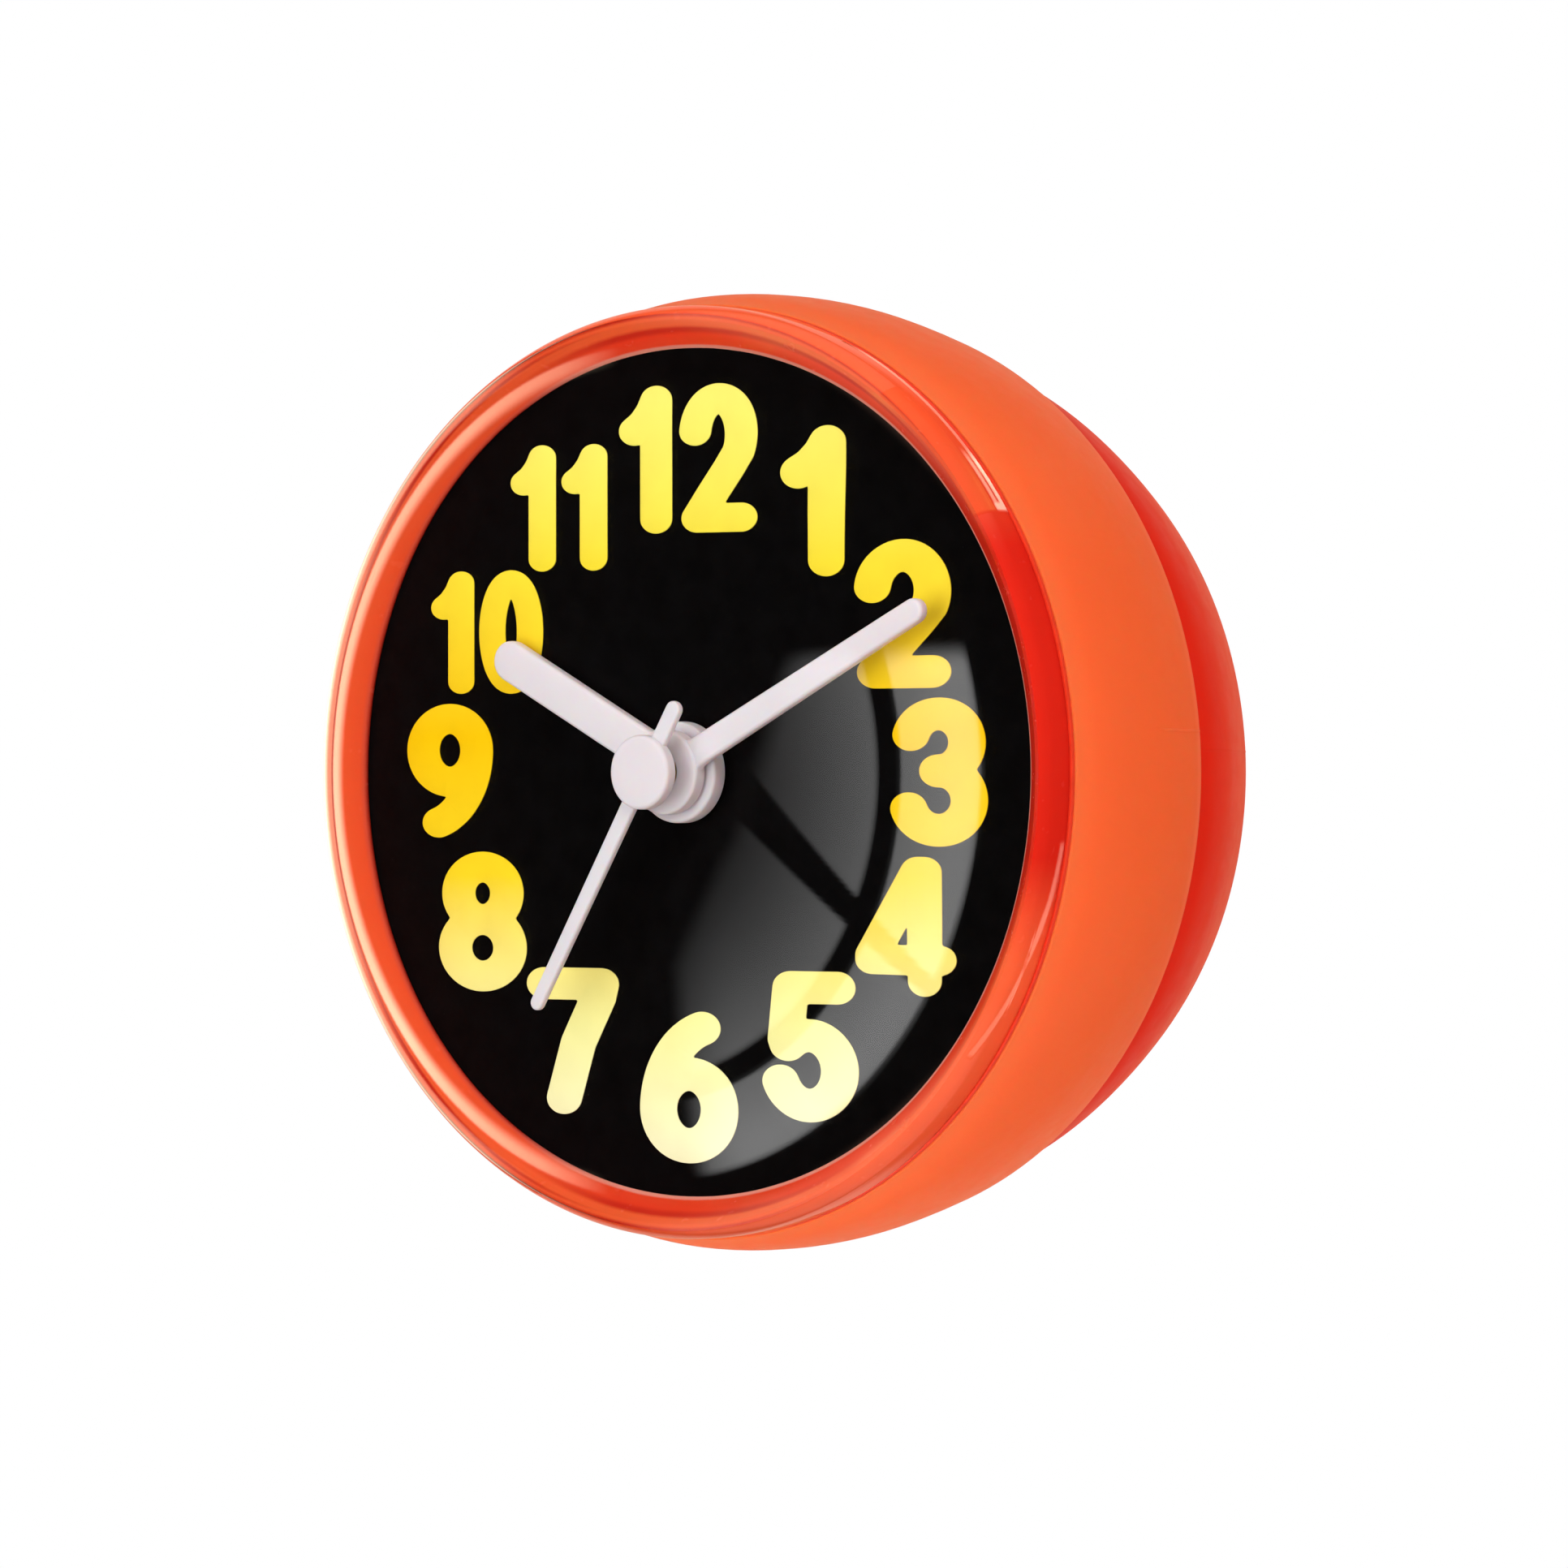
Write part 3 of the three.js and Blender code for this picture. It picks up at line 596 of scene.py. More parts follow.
# Masks by place round the ring put each set of painted light and painted shade where the light falls.
sep = red.node("ShaderNodeSeparateXYZ")
red.link(red.co, sep.inputs["Vector"])
height = red.node("ShaderNodeMath", operation="ABSOLUTE")
red.link(sep.outputs["Z"], height.inputs[0])
painted_shade_lines = blend(painted_shade_lines, low, red.span(sep.outputs["Z"], -0.012, -0.022))
faced = blend(painted_left_light, painted_shade_lines, times(red.span(height.outputs["Value"], 0.013, 0.025), red.span(sep.outputs["X"], -0.016, -0.006)))
faced = blend(faced, lit, times(red.span(sep.outputs["X"], 0.013, 0.022), red.span(sep.outputs["Z"], 0.0285, 0.0210)))
faced = blend(faced, lit_low, times(red.span(sep.outputs["X"], 0.007, 0.018), red.span(sep.outputs["Z"], -0.004, -0.010)))
away = times(
    red.span(sep.outputs["X"], 0.014, 0.024),
    times(red.span(sep.outputs["Z"], 0.022, 0.016), red.span(sep.outputs["Z"], -0.0135, -0.006)),
)
red.link(blend(faced, shaded, away), red.p.inputs["Base Color"])
red.rough(0.2, 0.28, 900).bump(1800, 0.03, 0.00004)

clear = Mat("clear_acrylic", IOR=1.49, Transmission_Weight=1.0)
clear.vary((0.99, 0.99, 0.988, 1), 60, 0.005).rough(0.0, 0.012, 420)

black = Mat("dial_black", IOR=1.45, Specular_IOR_Level=0.1)
black.vary((0.0022, 0.0022, 0.0024, 1), 500, 0.3).rough(0.45, 0.6, 2200).bump(4200, 0.05, 0.00002)

ink = Mat("dial_yellow_print", IOR=1.45, Specular_IOR_Level=0.2)
ink.along(
    "Z",
    -0.027,
    0.0275,
    [
        (0.0, srgb(255, 255, 205)),
        (0.16, srgb(255, 252, 165)),
        (0.36, srgb(255, 222, 40)),
        (0.55, srgb(255, 206, 12)),
        (0.78, srgb(255, 232, 60)),
        (1.0, srgb(255, 252, 120)),
    ],
    scale=700,
    wander=0.0006,
)
ink.rough(0.45, 0.6, 1500).bump(3500, 0.05, 0.00002)

white = Mat("hand_white", IOR=1.48, Subsurface_Weight=0.4, Subsurface_Scale=0.0015)
white.vary(srgb(232, 226, 231), 260, 0.02).rough(0.38, 0.48, 1200).bump(2600, 0.04, 0.00003)

seal = Mat("seal_rubber", IOR=1.5)
seal.vary((0.80, 0.045, 0.016, 1), 700, 0.08).rough(0.6, 0.8, 1500).bump(2200, 0.15, 0.00006)

cup = Mat("soft_milky_pvc", IOR=1.45, Specular_IOR_Level=0.4, Subsurface_Weight=0.6, Subsurface_Scale=0.002)
cup.vary((0.86, 0.87, 0.85, 1), 140, 0.02).rough(0.2, 0.3, 500).bump(900, 0.04, 0.00008)


def plastic(name, colour, lo, hi, grain=2200):
    m = Mat(name, IOR=1.48)
    return m.vary(colour, 220, 0.06).rough(lo, hi, 900).bump(grain, 0.08, 0.00005)


def metal(name, colour, lo, hi, stretch=(1, 1, 12)):
    m = Mat(name, Metallic=1.0)
    return m.vary(colour, 300, 0.05, stretch=stretch).rough(lo, hi, 900, stretch=stretch).bump(1500, 0.05, 0.00003, stretch=stretch)


slots = {
    "movement_black": plastic("movement_black_abs", (0.011, 0.012, 0.013, 1), 0.5, 0.65),
    "nylon": plastic("gear_nylon", srgb(232, 226, 208), 0.4, 0.55),
    "brass_plate": metal("brass_plate", (0.72, 0.47, 0.15, 1), 0.28, 0.42),
    "steel": metal("nickelled_steel", (0.58, 0.59, 0.61, 1), 0.2, 0.34),
    "soft_iron": metal("soft_iron", (0.32, 0.33, 0.34, 1), 0.4, 0.55),
    "magnet": metal("magnet_grey", (0.09, 0.09, 0.1, 1), 0.45, 0.6),
    "copper_wire": metal("enamelled_copper", (0.62, 0.22, 0.07, 1), 0.22, 0.36, (60, 1, 1)),
    "board_green": plastic("board_green", (0.02, 0.13, 0.045, 1), 0.4, 0.6),
    "epoxy_black": plastic("epoxy_black", (0.012, 0.011, 0.010, 1), 0.25, 0.4),
    "orange_plastic": orange,
    "clear_acrylic": clear,
    "red_plastic": red,
    "black_dial": black,
    "white_hands": white,
    "seal_rubber": seal,
    "soft_cup": cup,
}


def dress(obj, mat):
    obj.data.materials.clear()
    obj.data.materials.append(mat.m)
    return obj


for row in frame["record"]["materials"]:
    for n in row.get("nodes", []):
        if n in frame["nodes"] and row["slot"] in slots:
            o = frame["nodes"][n]
            o.data.materials.clear()
            o.data.materials.append(slots[row["slot"]].m)


def stand_for(obj, mat, slot, body, *nodes):
    dress(obj, mat)
    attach(obj, body)
    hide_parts(*nodes)
    return obj


# ------------------------------------------------------------------ camera
AZ, DIST = math.radians(38.95), 0.600
right = Vector((math.cos(AZ), math.sin(AZ), 0))
back = Vector((math.sin(AZ), -math.cos(AZ), 0))
up = Vector((0, 0, 1))
dial_centre = Vector((0, -WALL_D / 1000, 0))
cam = bpy.data.objects.new("camera", bpy.data.cameras.new("camera"))
scene.collection.objects.link(cam)
cam.data.sensor_width = 36.0
cam.data.lens = 36.0 * 10104 / 1932
cam.data.clip_start, cam.data.clip_end = 0.01, 50
cam.location = dial_centre + back * DIST
aim = dial_centre + right * 0.00675 - up * 0.00086
cam.rotation_euler = (aim - cam.location).to_track_quat("-Z", "Y").to_euler()
scene.camera = cam

# ------------------------------------------------------------------ housing
SEAMS = [5.0, 184.0]
outer = spline(
    [(34.32, 1.2), (34.92, 3.0), (35.19, 5.0), (35.25, 8.0), (35.04, 11.0), (34.5, 14.2), (34.1, 16.05)], 6
)
outer = [(min(r, 35.25), d) for r, d in outer]
front_edge = rounded([(33.0, 0.9, 0), (34.22, 0.9, 0.22), (34.32, 1.2, 0)], closed=False, n=4)[1:-1]
back_edge = rounded([(34.1, 16.05, 0), (34.02, 16.5, 0.3), (33.0, 16.5, 0)], closed=False, n=5)[1:-1]
inner = rounded(
    [
        (26.0, 16.5, 0.15),
        (26.0, 14.7, 0.1),
        (32.0, 14.7, 0.6),
        (32.6, 8.0, 0),
        (32.3, 3.9, 0.4),
        (27.2, 3.9, 0.15),
        (27.2, 0.9, 0.15),
    ],
    closed=False,
    n=3,
)
housing = lathe(
    "housing_moulded",
    [(33.0, 0.9)] + front_edge + outer + back_edge + [(33.0, 16.5)] + inner,
    angles=with_seams(SEAMS),
    shift=seam_shift(SEAMS, 34.0, 0.06, 9.6, 16.3),
)


def prism(name, pts, d0, d1):
    n = len(pts)
    verts = [(x / 1000, (d - WALL_D) / 1000, z / 1000) for d in (d0, d1) for x, z in pts]
    faces = [list(range(n)), list(range(2 * n - 1, n - 1, -1))]
    faces += [(j, (j + 1) % n, n + (j + 1) % n, n + j) for j in range(n)]
    return new_object(name, verts, faces)


def polar(deg, r):
    return (r * math.cos(math.radians(deg)), r * math.sin(math.radians(deg)))


cutters = []
for k, a in enumerate((45, 165, 285)):
    arc = [a - 17 + 34 * i / 12 for i in range(13)]
    cutters.append(prism(f"notch{k}", [polar(t, 27.7) for t in arc] + [polar(t, 24.0) for t in reversed(arc)], 13.9, 17.5))
for k, a in enumerate((90, 210, 330)):
    c = polar(a, 29.8)
    cutters.append(prism(f"hole{k}", [(c[0] + math.cos(t * math.pi / 12), c[1] + math.sin(t * math.pi / 12)) for t in range(24)], 1.5, 4.9))
boolean(housing, cutters, "DIFFERENCE")
stand_for(housing, orange, "orange_plastic", "case", "housing")

# ------------------------------------------------------------------ lens, gasket, ring, dial
dome = lambda r, apex: (r, apex + 110 - math.sqrt(110 * 110 - r * r))
lens_out = spline(
    [dome(r, -9.0) for r in (0, 5, 10, 14.5, 19, 23, 27)]
    + [(30.2, -4.65), (32.3, -3.75), (33.5, -2.75), (34.02, -1.7), (34.1, -1.0)],
    6,
)
lens_in = spline(
    [(33.62, -1.0), (33.56, -1.6), (33.1, -2.45), (31.95, -3.27), (30.0, -4.02)] + [dome(r, -8.2) for r in (27, 23, 19, 14.5, 10, 5, 0)],
    6,
)
lens_out = [(min(r, 34.1), max(d, -9.0)) for r, d in lens_out]
lens_in = [(min(r, 33.62), d) for r, d in lens_in]
lens_out[0], lens_in[-1] = (0, -9.0), (0, -8.2)
lens_out += [(34.1, -0.5), (34.1, 0.0), (34.1, 0.3)]
skirt = rounded([(34.1, 0.3, 0), (34.1, 0.55, 0.1), (33.62, 0.55, 0.12), (33.62, -1.0, 0)], closed=False, n=3)[1:-1]
lens = lathe("lens_clear", lens_out + skirt + lens_in, seg=240, sharp_deg=40)
stand_for(lens, clear, "clear_acrylic", "case", "lens")
lens.visible_shadow = False

gasket = lathe(
    "lens_gasket_ring",
    rounded([(33.64, 0.53, 0.06), (34.1, 0.53, 0.06), (34.1, 0.88, 0.06), (33.64, 0.88, 0.06)], n=3),
)
stand_for(gasket, seal, "seal_rubber", "case", "lens_gasket")

ring = lathe(
    "dial_ring_gloss",
    rounded(
        [
            (30.85, -0.04, 0.03),
            (30.85, -0.16, 0.05),
            (31.05, -0.32, 0.12),
            (32.8, -2.12, 0.2),
        ]
        + [(r + 0.02, d - 0.01, 0) for r, d in reversed(lens_in) if -2.44 < d < -0.9]
        + [
            (33.64, 0.87, 0.06),
            (32.6, 0.87, 0.06),
            (32.6, -0.04, 0.1),
        ],
        n=4,
    ),
    seg=240,
)
stand_for(ring, red, "red_plastic", "case", "dial_ring")

dial = lathe(
    "dial_plate",
    rounded([(2.6, 0.0, 0.08), (32.5, 0.0, 0.08), (32.5, 0.75, 0.08), (2.6, 0.75, 0.08)], n=3),
)
stand_for(dial, black, "black_dial", "case", "dial")


# ------------------------------------------------------------------ dial numbers
def arc(cx, cy, rx, ry, a0, a1, n=28):
    return [
        (cx + rx * math.cos(math.radians(a0 + (a1 - a0) * i / n)), cy + ry * math.sin(math.radians(a0 + (a1 - a0) * i / n)))
        for i in range(n + 1)
    ]


# Strokes of each figure on a unit height, the stroke's middle line; width follows.
FIGURES = {
    "0": ([arc(0.41, 0.5, 0.255, 0.392, 0, 360, 60)], 0.82),
    "1": ([[(0.155, 0.70), (0.25, 0.745), (0.34, 0.82), (0.39, 0.89), (0.39, 0.11)]], 0.56),
    "2": ([arc(0.41, 0.655, 0.25, 0.237, 172, -28, 30) + [(0.53, 0.44), (0.37, 0.29), (0.185, 0.11), (0.66, 0.11)]], 0.82),
    "3": ([arc(0.385, 0.70, 0.235, 0.192, 164, -90, 30), arc(0.385, 0.31, 0.255, 0.20, 90, -164, 30)], 0.80),
    "4": ([[(0.64, 0.11), (0.64, 0.89), (0.585, 0.89), (0.155, 0.29), (0.155, 0.26), (0.78, 0.26)]], 0.93),
    "5": ([[(0.63, 0.89), (0.235, 0.89), (0.195, 0.545)] + arc(0.39, 0.34, 0.255, 0.23, 134, -160, 34)], 0.80),
    "6": ([arc(0.41, 0.34, 0.255, 0.23, 0, 360, 44), arc(0.655, 0.34, 0.50, 0.55, 180, 106, 22)], 0.82),
    "7": ([[(0.155, 0.89), (0.66, 0.89), (0.635, 0.80), (0.46, 0.49), (0.335, 0.11)]], 0.80),
    "8": ([arc(0.41, 0.702, 0.225, 0.188, 0, 360, 44), arc(0.41, 0.312, 0.255, 0.202, 0, 360, 44)], 0.82),
}
FIGURES["9"] = ([[(0.82 - x, 1.0 - y) for x, y in s] for s in FIGURES["6"][0]], 0.82)
STROKE, LEVEL = 0.155, 1.41


def figure_field(text, height, cx, cz, squeeze=1.0):
    w = [FIGURES[c][1] * squeeze for c in text]
    gap, stroke = 0.075, STROKE * (0.45 + 0.55 * squeeze)
    x = -(sum(w) + gap * (len(text) - 1)) / 2
    paths = []
    for c, cw in zip(text, w):
        for s in FIGURES[c][0]:
            paths.append([(cx + (x + u * squeeze) * height, cz + (v - 0.5) * height) for u, v in s])
        x += cw + gap

    def field(p):
        f = d_path(p, paths[0], LEVEL)
        for s in paths[1:]:
            f = np.minimum(f, d_path(p, s, LEVEL))
        return f - stroke * height

    half = (sum(w) + gap) / 2 * height
    return field, (cx - half - 1, cz - height / 2 - 1), (cx + half + 1, cz + height / 2 + 1)


PLACES = {  # hour: (height, x, z, squeeze)
    12: (11.0, -0.1, 22.8, 0.78),
    1: (10.8, 11.5, 19.5, 1.0),
    2: (10.6, 19.5, 11.3, 1.0),
    3: (10.6, 22.9, 0.0, 1.0),
    4: (10.0, 19.8, -11.0, 0.95),
    5: (10.8, 11.2, -19.75, 1.0),
    6: (11.2, 0.0, -22.8, 1.0),
    7: (10.8, -11.1, -19.8, 1.0),
    8: (10.4, -19.7, -11.1, 1.0),
    9: (10.2, -22.9, 0.0, 1.0),
    10: (9.4, -19.3, 10.4, 0.76),
    11: (9.6, -12.3, 19.5, 0.78),
}
for hour, (size, nx, nz, squeeze) in PLACES.items():
    fld, lo, hi = figure_field(str(hour), size, nx, nz, squeeze)
    loops = outline(fld, lo, hi, 0.08, 0.2, snap=False)
    num = slab(f"dial_numeral_{hour:02d}", None, loops, -0.07, 0.02, 0.03, nb=2)
    dress(num, ink)
    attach(num, "case")


# ------------------------------------------------------------------ hands
def toward(angle):
    a = math.radians(angle)
    return np.array([math.sin(a), math.cos(a)])


def arm_field(angle, length, w0, w1, hub_r, bore=0.0, tail=0.0, blend=0.8):
    ax = toward(angle)
    side = np.array([ax[1], -ax[0]])

    def field(p):
        u, v = p @ ax, p @ side
        end = length - w1 / 2
        t = np.clip(u / end, 0, 1)
        half = (w0 + (w1 - w0) * t) / 2
        f = np.hypot(u - np.clip(u, 0, end), v) - half
        if tail:
            f = np.minimum(f, np.hypot(u - np.clip(u, -(tail - w0 / 2), 0), v) - w0 / 2)
        f = smooth_min(f, np.hypot(p[:, 0], p[:, 1]) - hub_r, blend)
        if bore:
            f = np.maximum(f, bore - np.hypot(p[:, 0], p[:, 1]))
        return f

    return field


def hand(name, node, body, angle, length, w0, w1, hub_r, bore, d0, d1, bevel, blend, hub):
    fld = arm_field(angle, length, w0, w1, hub_r - 0.1, bore, blend=blend)
    loops = outline(fld, (-length - 1, -length - 1), (length + 1, length + 1), 0.22, 0.3)
    blade = slab(name, fld, loops, d0, d1, bevel, nb=4)
    boss = lathe(name + "_boss", rounded([(bore, hub[0], 0.1), (hub_r, hub[0], 0.25), (hub_r, hub[1], 0.2), (bore, hub[1], 0.1)], n=4), seg=96)
    boolean(blade, [boss], "UNION")
    return stand_for(blade, white, "white_hands", body, node)


hand("hour_hand_body", "hour_hand", "hours", 297.3, 19.4, 3.0, 3.0, 3.7, 2.12, -1.6, -0.55, 0.3, 0.5, (-1.7, -0.35))
hand("minute_hand_body", "minute_hand", "minutes", 63.1, 26.2, 2.2, 1.8, 3.1, 1.32, -3.0, -2.1, 0.28, 0.5, (-3.15, -1.95))

fld = arm_field(210.9, 20.2, 1.3, 1.1, 2.0, 0.0, tail=5.9, blend=0.3)
loops = outline(fld, (-22, -22), (22, 22), 0.2, 0.22)
sweep = slab("second_hand_body", fld, loops, -5.4, -4.75, 0.22, nb=4)
cap = lathe(
    "second_cap",
    [(0, -5.9)]
    + rounded(
        [(0.6, -5.9, 0), (2.7, -5.9, 0.32), (2.7, -4.9, 0.15), (1.5, -4.5, 0.15), (1.5, -3.45, 0.1), (0.62, -3.45, 0.05), (0.62, -5.1, 0)],
        closed=False,
        n=5,
    )
    + [(0, -5.1)],
    seg=96,
)
boolean(sweep, [cap], "UNION")
stand_for(sweep, white, "white_hands", "seconds", "second_hand")

# ------------------------------------------------------------------ rear cap, seal, suction cup
CAP_SEAMS = [3.0, 183.0]
cap_outer = spline(
    [(32.82, 17.85), (32.6, 19.8), (32.05, 22.0), (31.4, 24.0), (29.8, 27.6), (28.75, 29.5), (28.0, 30.2), (27.2, 30.5)], 5
)
cap_front = rounded([(31.0, 17.3, 0), (32.75, 17.3, 0.35), (32.82, 17.85, 0)], closed=False, n=5)[1:-1]
cap_inner = rounded(
    [
        (25.5, 30.5, 0.35),
        (25.0, 27.0, 0.7),
        (22.5, 25.6, 0.8),
        (3.4, 25.6, 0.15),
        (3.4, 23.4, 0.15),
        (23.6, 23.4, 0.5),
        (23.6, 13.4, 0.15),
        (25.4, 13.4, 0.15),
        (25.4, 15.1, 0.05),
        (24.8, 15.1, 0.05),
        (24.8, 16.1, 0.05),
        (25.4, 16.1, 0.05),
        (26.4, 17.3, 0.2),
        (26.4, 24.5, 0.3),
        (28.6, 24.5, 0.5),
        (30.4, 21.0, 0.5),
        (30.4, 17.3, 0.12),
    ],
    closed=False,
    n=3,
)
rear = lathe(
    "rear_cap_moulded",
    [(31.0, 17.3)] + cap_front + cap_outer + cap_inner,
    angles=with_seams(CAP_SEAMS),
    shift=seam_shift(CAP_SEAMS, 28.9, 0.03, 17.6, 29.4),
)
lugs = []
for k, a in enumerate((90, 210, 330)):
    t = [a - 14 + 28 * i / 10 for i in range(11)]
    lugs.append(prism(f"lug{k}", [polar(x, 27.4) for x in t] + [polar(x, 24.6) for x in reversed(t)], 13.4, 14.4))
boolean(rear, lugs, "UNION")
stand_for(rear, deep, "orange_plastic", "back", "rear_cap")

o_ring = lathe("cap_seal_ring", [(25.42 + 0.44 * math.cos(i * math.pi / 10), 15.6 + 0.44 * math.sin(i * math.pi / 10)) for i in range(20)])
stand_for(o_ring, seal, "seal_rubber", "back", "cap_seal")

cup_out = spline([(8.0, 25.9), (14.0, 27.0), (19.0, 28.9), (22.6, 30.9), (23.9, 31.7)], 6)
cup_in = spline([(19.5, 32.0), (15.5, 30.2), (9.0, 28.7), (4.5, 28.3), (0, 28.2)], 6)
sucker = lathe(
    "suction_cup_soft",
    [(0, 21.6)]
    + rounded([(1.0, 21.6, 0), (3.6, 21.6, 0.6), (4.7, 22.2, 0.3), (4.7, 23.1, 0.2), (3.0, 23.1, 0.1), (3.0, 25.9, 0.25), (8.0, 25.9, 0)], closed=False, n=4)[:-1]
    + cup_out
    + [(24.0, 31.85), (24.0, 32.0)]
    + cup_in[:-1]
    + [(0, 28.2)],
    sharp_deg=40,
)
stand_for(sucker, cup, "soft_cup", "back", "suction_cup")

# ------------------------------------------------------------------ stage: floor, light
floor_z = -0.70
ringn, floor_v, floor_f = 96, [(0, 0, floor_z)], []
for k, r in enumerate((0.3, 0.7, 1.15)):
    floor_v += [(r * math.cos(2 * math.pi * j / ringn), r * math.sin(2 * math.pi * j / ringn), floor_z) for j in range(ringn)]
floor_f += [(0, 1 + j, 1 + (j + 1) % ringn) for j in range(ringn)]
for k in range(2):
    b = 1 + k * ringn
    floor_f += [(b + j, b + ringn + j, b + ringn + (j + 1) % ringn, b + (j + 1) % ringn) for j in range(ringn)]
fm = bpy.data.meshes.new("floor")
fm.from_pydata(floor_v, [], floor_f)
floor = bpy.data.objects.new("floor", fm)
scene.collection.objects.link(floor)
pale = Mat("pale_floor", IOR=1.4, Specular_IOR_Level=0.1)
pale.vary((0.88, 0.88, 0.88, 1), 6, 0.015).rough(0.7, 0.85, 20)
dress(floor, pale)
floor.visible_glossy = floor.visible_transmission = False
floor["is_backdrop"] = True

world = bpy.data.worlds.new("studio")
scene.world = world
world.use_nodes = True
wt = world.node_tree
bg = next(n for n in wt.nodes if n.type == "BACKGROUND")
bg.inputs["Color"].default_value = (1, 1, 1, 1)
# Bright above, below and behind; dark in a belt round the front, which the dome and the drum's
# side mirror.
TENT = 0.6
coord = wt.nodes.new("ShaderNodeTexCoord")


def fade(value, lo, hi, a=0.0, b=1.0):
    r = wt.nodes.new("ShaderNodeMapRange")
    r.interpolation_type = "SMOOTHSTEP"
    for k, v in zip(("From Min", "From Max", "To Min", "To Max"), (lo, hi, a, b)):
        r.inputs[k].default_value = v
    wt.links.new(value, r.inputs["Value"])
    return r.outputs["Result"]


def calc(op, *values):
    n = wt.nodes.new("ShaderNodeMath")
    n.operation = op
    for s, v in zip(n.inputs, values):
        if isinstance(v, float):
            s.default_value = v
        else:
            wt.links.new(v, s)
    return n.outputs["Value"]


def along(direction):
    dot = wt.nodes.new("ShaderNodeVectorMath")
    dot.operation = "DOT_PRODUCT"
    dot.inputs[1].default_value = direction
    wt.links.new(coord.outputs["Generated"], dot.inputs[0])
    return dot.outputs["Value"]


caps = fade(calc("ABSOLUTE", along((0, 0, 1))), 0.62, 0.9)
drop = fade(along((-0.63, 0.777, 0.0)), 0.62, 0.9)
level_out = calc("MULTIPLY", fade(calc("MAXIMUM", caps, drop), 0.0, 1.0, 0.004, 1.0), TENT)
path = wt.nodes.new("ShaderNodeLightPath")
warm = wt.nodes.new("ShaderNodeMix")
warm.data_type = "RGBA"
warm.inputs[6].default_value = (1, 1, 1, 1)
warm.inputs[7].default_value = (1.0, 0.56, 0.42, 1)
mirrored = calc("MULTIPLY", path.outputs["Is Glossy Ray"], calc("SUBTRACT", 1.0, path.outputs["Is Diffuse Ray"]))
wt.links.new(mirrored, warm.inputs[0])
wt.links.new(warm.outputs[2], bg.inputs["Color"])
pick = wt.nodes.new("ShaderNodeMix")
pick.inputs["B"].default_value = 1.0
wt.links.new(path.outputs["Is Camera Ray"], pick.inputs["Factor"])
wt.links.new(calc("MULTIPLY", level_out, fade(mirrored, 0.0, 1.0, 1.0, 1.5)), pick.inputs["A"])
wt.links.new(pick.outputs["Result"], bg.inputs["Strength"])


def area(name, az, el, dist, w, h, power, target=(0, -0.016, 0), colour=(1, 1, 1)):
    """Softbox seen from the clock at that azimuth (0 is straight in front, 90 to the right) and elevation."""
    d = bpy.data.lights.new(name, "AREA")
    d.shape, d.size, d.size_y, d.energy, d.color = "RECTANGLE", w, h, power, colour
    d.cycles.use_multiple_importance_sampling = False
    o = bpy.data.objects.new(name, d)
    a, e = math.radians(az), math.radians(el)
    t = Vector(target)
    o.location = t + dist * Vector((math.sin(a) * math.cos(e), -math.cos(a) * math.cos(e), math.sin(e)))
    o.rotation_euler = (t - o.location).to_track_quat("-Z", "Y").to_euler()
    o.visible_camera = False
    scene.collection.objects.link(o)
    return o


# Wide lights that leave no reflection.
for fill in (
    area("key", 52, 48, 0.8, 0.4, 0.4, 2.9),
    area("fill_front", -5, 0, 1.0, 1.0, 1.0, 9.8),
    area("fill_right", 95, 4, 1.0, 1.0, 1.0, 4.2),
    area("fill_left", -80, 10, 1.0, 1.0, 1.0, 2.0),
    area("fill_back", 142, 8, 1.0, 0.8, 0.8, 1.7),
    area("fill_low", 60, -60, 0.28, 0.3, 0.3, 0.25),
):
    fill.visible_glossy = fill.visible_transmission = False

# A four-paned window that the dome mirrors on its lower right. It is laid out on the dome
# (millimetres right and up of the axis) and thrown out to where the camera's line of sight
# leaves the lens, so the panes bend as they would on a real domed lens.
def step(v, lo, hi):
    s = np.clip((v - lo) / (hi - lo), 0, 1)
    return s * s * (3 - 2 * s)


def window_glow(x, z):
    r = math.hypot(x, z)
    soft = 0.35
    rail = step(abs(r - 23.2), 0.75, 0.75 + soft)
    s = (z + 1.1 + 0.98 * (x - 11.1)) / math.hypot(1, 0.98)
    w = 1.5 - 0.95 * min(1, max(0, (r - 11) / 17))
    bar = step(abs(s), w, w + soft)
    upper = step(x - 11.2 - 0.34 * z, 0, 3.0) * step(8.6 - z + 0.03 * x, 0, 2.0)
    lower = step(x - 12.4 - 0.62 * max(z, -14.0), 0, 2.5) * step(x - 1.0, 0, 9.0)
    side = upper if s > 0 else lower
    return rail * bar * side * step(30.2 - r - 0.014 * abs(z), 0, 0.5) * (0.03 + 0.97 * min(1.0, max(0.0, (r - 9.0) / 19)) ** 1.7)


lens_line = np.array(lens_out + [(34.1, 0.45)])
lens_arc = np.concatenate([[0], np.cumsum(np.linalg.norm(np.diff(lens_line, axis=0), axis=1))])
lens_run = np.gradient(lens_line, lens_arc, axis=0)


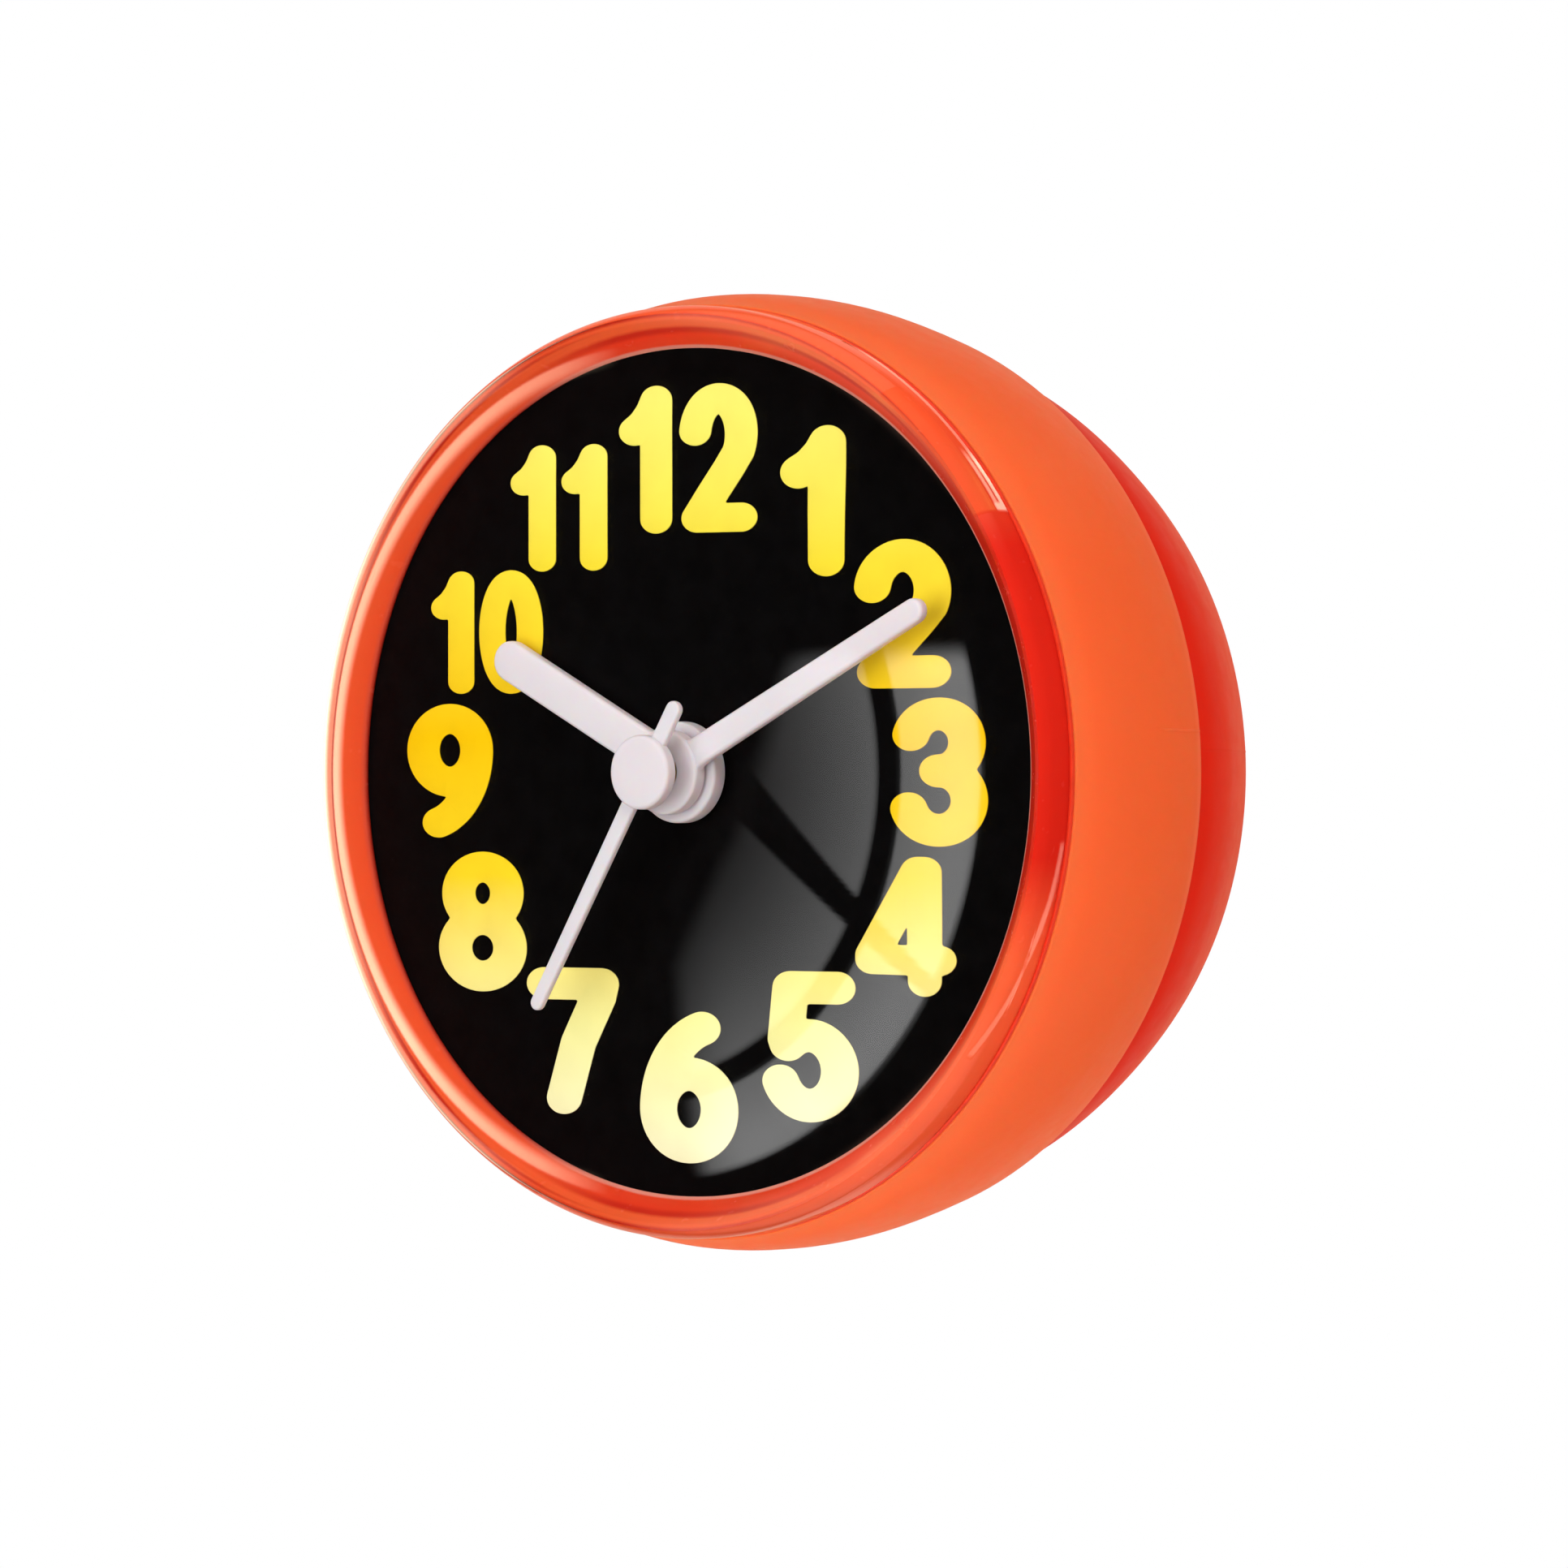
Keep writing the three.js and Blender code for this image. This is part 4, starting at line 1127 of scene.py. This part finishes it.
def reflected(name, arcs, angles, glow_at, gain_value, tint=(1, 1, 1, 1)):
    """Lit panel that the lens mirrors to the camera at those places (arc length from the apex, angle) of its outside."""
    verts, faces, glow = [], [], []
    for u in arcs:
        r, d = (np.interp(u, lens_arc, lens_line[:, k]) for k in (0, 1))
        tr, td = (np.interp(u, lens_arc, lens_run[:, k]) for k in (0, 1))
        for a in angles:
            at = Vector((r * math.cos(a), d - WALL_D, r * math.sin(a))) / 1000
            n = Vector((td * math.cos(a), -tr, td * math.sin(a))).normalized()
            ray = (at - cam.location).normalized()
            verts.append(at + (ray - 2 * ray.dot(n) * n) * 0.75)
            glow.append(float(glow_at(u, r, a)))
    na = len(angles)
    for i in range(len(arcs) - 1):
        for j in range(na - 1):
            q = (i * na + j, i * na + j + 1, (i + 1) * na + j + 1, (i + 1) * na + j)
            if max(glow[v] for v in q) > 0.002:
                faces.append(q)
    mesh = bpy.data.meshes.new(name)
    mesh.from_pydata([tuple(v) for v in verts], [], faces)
    mesh.attributes.new("glow", "FLOAT", "POINT").data.foreach_set("value", glow)
    panel = bpy.data.objects.new(name, mesh)
    scene.collection.objects.link(panel)
    m = bpy.data.materials.new(name + "_light")
    m.use_nodes = True
    nt = m.node_tree
    nt.nodes.remove(next(n for n in nt.nodes if n.type == "BSDF_PRINCIPLED"))
    emit = nt.nodes.new("ShaderNodeEmission")
    emit.inputs["Color"].default_value = tint
    attr = nt.nodes.new("ShaderNodeAttribute")
    attr.attribute_name = "glow"
    gain = nt.nodes.new("ShaderNodeMath")
    gain.operation = "MULTIPLY"
    gain.inputs[1].default_value = gain_value
    nt.links.new(attr.outputs["Fac"], gain.inputs[0])
    nt.links.new(gain.outputs["Value"], emit.inputs["Strength"])
    nt.links.new(emit.outputs["Emission"], next(n for n in nt.nodes if n.type == "OUTPUT_MATERIAL").inputs["Surface"])
    m.cycles.emission_sampling = "NONE"
    mesh.materials.append(m)
    panel.visible_camera = panel.visible_diffuse = panel.visible_transmission = panel.visible_shadow = False
    panel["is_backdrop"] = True


reflected(
    "window",
    np.arange(8.0, 31.6, 0.3),
    np.radians(np.arange(-100.0, 40.0, 0.7)),
    lambda u, r, a: window_glow(r * math.cos(a), r * math.sin(a)),
    4.2,
)


def band(v, lo, hi, soft):
    return float(step(v, lo - soft, lo) * (1 - step(v, hi, hi + soft)))


# A bright strip far round on the left, mirrored where the dome bends into its shoulder.
WARM = (1.0, 0.84, 0.62, 1)
LEFT = ((96, 106, 125, 140, 155, 175, 205, 220, 235, 250, 262), (0, 0.6, 0.9, 0.9, 0.95, 1.0, 1.15, 1.4, 1.1, 0.8, 0))
reflected(
    "left_strip",
    np.arange(28.6, 34.6, 0.1),
    np.radians(np.arange(94.0, 264.0, 0.8)),
    lambda u, r, a: float(step(u, 29.9, 31.1) * (1 - step(u, 31.5, 31.85))) * np.interp(math.degrees(a), *LEFT)
    + 0.22 * band(u, 32.9, 34.2, 0.3) * band(math.degrees(a), 125, 235, 15)
    + 0.34 * band(u, 32.0, 33.8, 0.25) * band(math.degrees(a), 165, 195, 34),
    7.0,
    (1.0, 0.80, 0.55, 1),
)
# Two narrow ones on the right, mirrored along the skirt: one from the top to a square end, one below.
reflected(
    "upper_strip",
    np.arange(35.8, 37.85, 0.05),
    np.radians(np.arange(32.0, 72.0, 0.25)),
    lambda u, r, a: (
        max(band(u, 37.3, 37.8, 0.1), 0.6 * band(u, 36.75, 36.95, 0.12), band(u, 36.7, 37.8, 0.1) * band(math.degrees(a), 33.2, 34.0, 0.4))
        * band(math.degrees(a), 33.2, 40, 3.0)
        + 0.3 * band(u, 37.3, 37.8, 0.1) * band(math.degrees(a), 40, 60, 6)
    )
    * band(math.degrees(a), 33.2, 72, 0.3),
    6.0,
    WARM,
)
# The upper one also throws a faint orange sheen inwards, over the ring, up to the same square end.
SHEEN = ((33.2, 37, 41, 46, 54), (1.0, 0.75, 0.25, 0.08, 0.0))
reflected(
    "upper_sheen",
    np.arange(33.7, 36.7, 0.1),
    np.radians(np.arange(32.0, 63.0, 0.25)),
    lambda u, r, a: band(u, 34.4, 36.35, 0.2) * band(math.degrees(a), 33.2, 63, 0.3) * np.interp(math.degrees(a), *SHEEN),
    1.6,
    (1.0, 0.72, 0.16, 1),
)
LOWER = ((-38, -30.2, -22.9, -15.5, -9.2), (34.9, 35.75, 36.43, 36.99, 37.25))
reflected(
    "lower_strip",
    np.arange(34.8, 37.85, 0.05),
    np.radians(np.arange(-48.0, -7.0, 0.25)),
    lambda u, r, a: band(u - np.interp(math.degrees(a), *LOWER), -0.14, 0.14, 0.16) * band(math.degrees(a), -36, -9.0, 1.0),
    2.7,
    WARM,
)

# ------------------------------------------------------------------ picture settings
scene.view_settings.view_transform = "Standard"
scene.view_settings.look = "None"
scene.cycles.use_denoising = True
scene.cycles.diffuse_bounces = 8
scene.cycles.transmission_bounces = 12
scene.cycles.max_bounces = 16
scene.cycles.transparent_max_bounces = 16

lo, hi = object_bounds()
{"cad": [list(cad_lo), list(cad_hi)], "visual": [list(lo), list(hi)]}
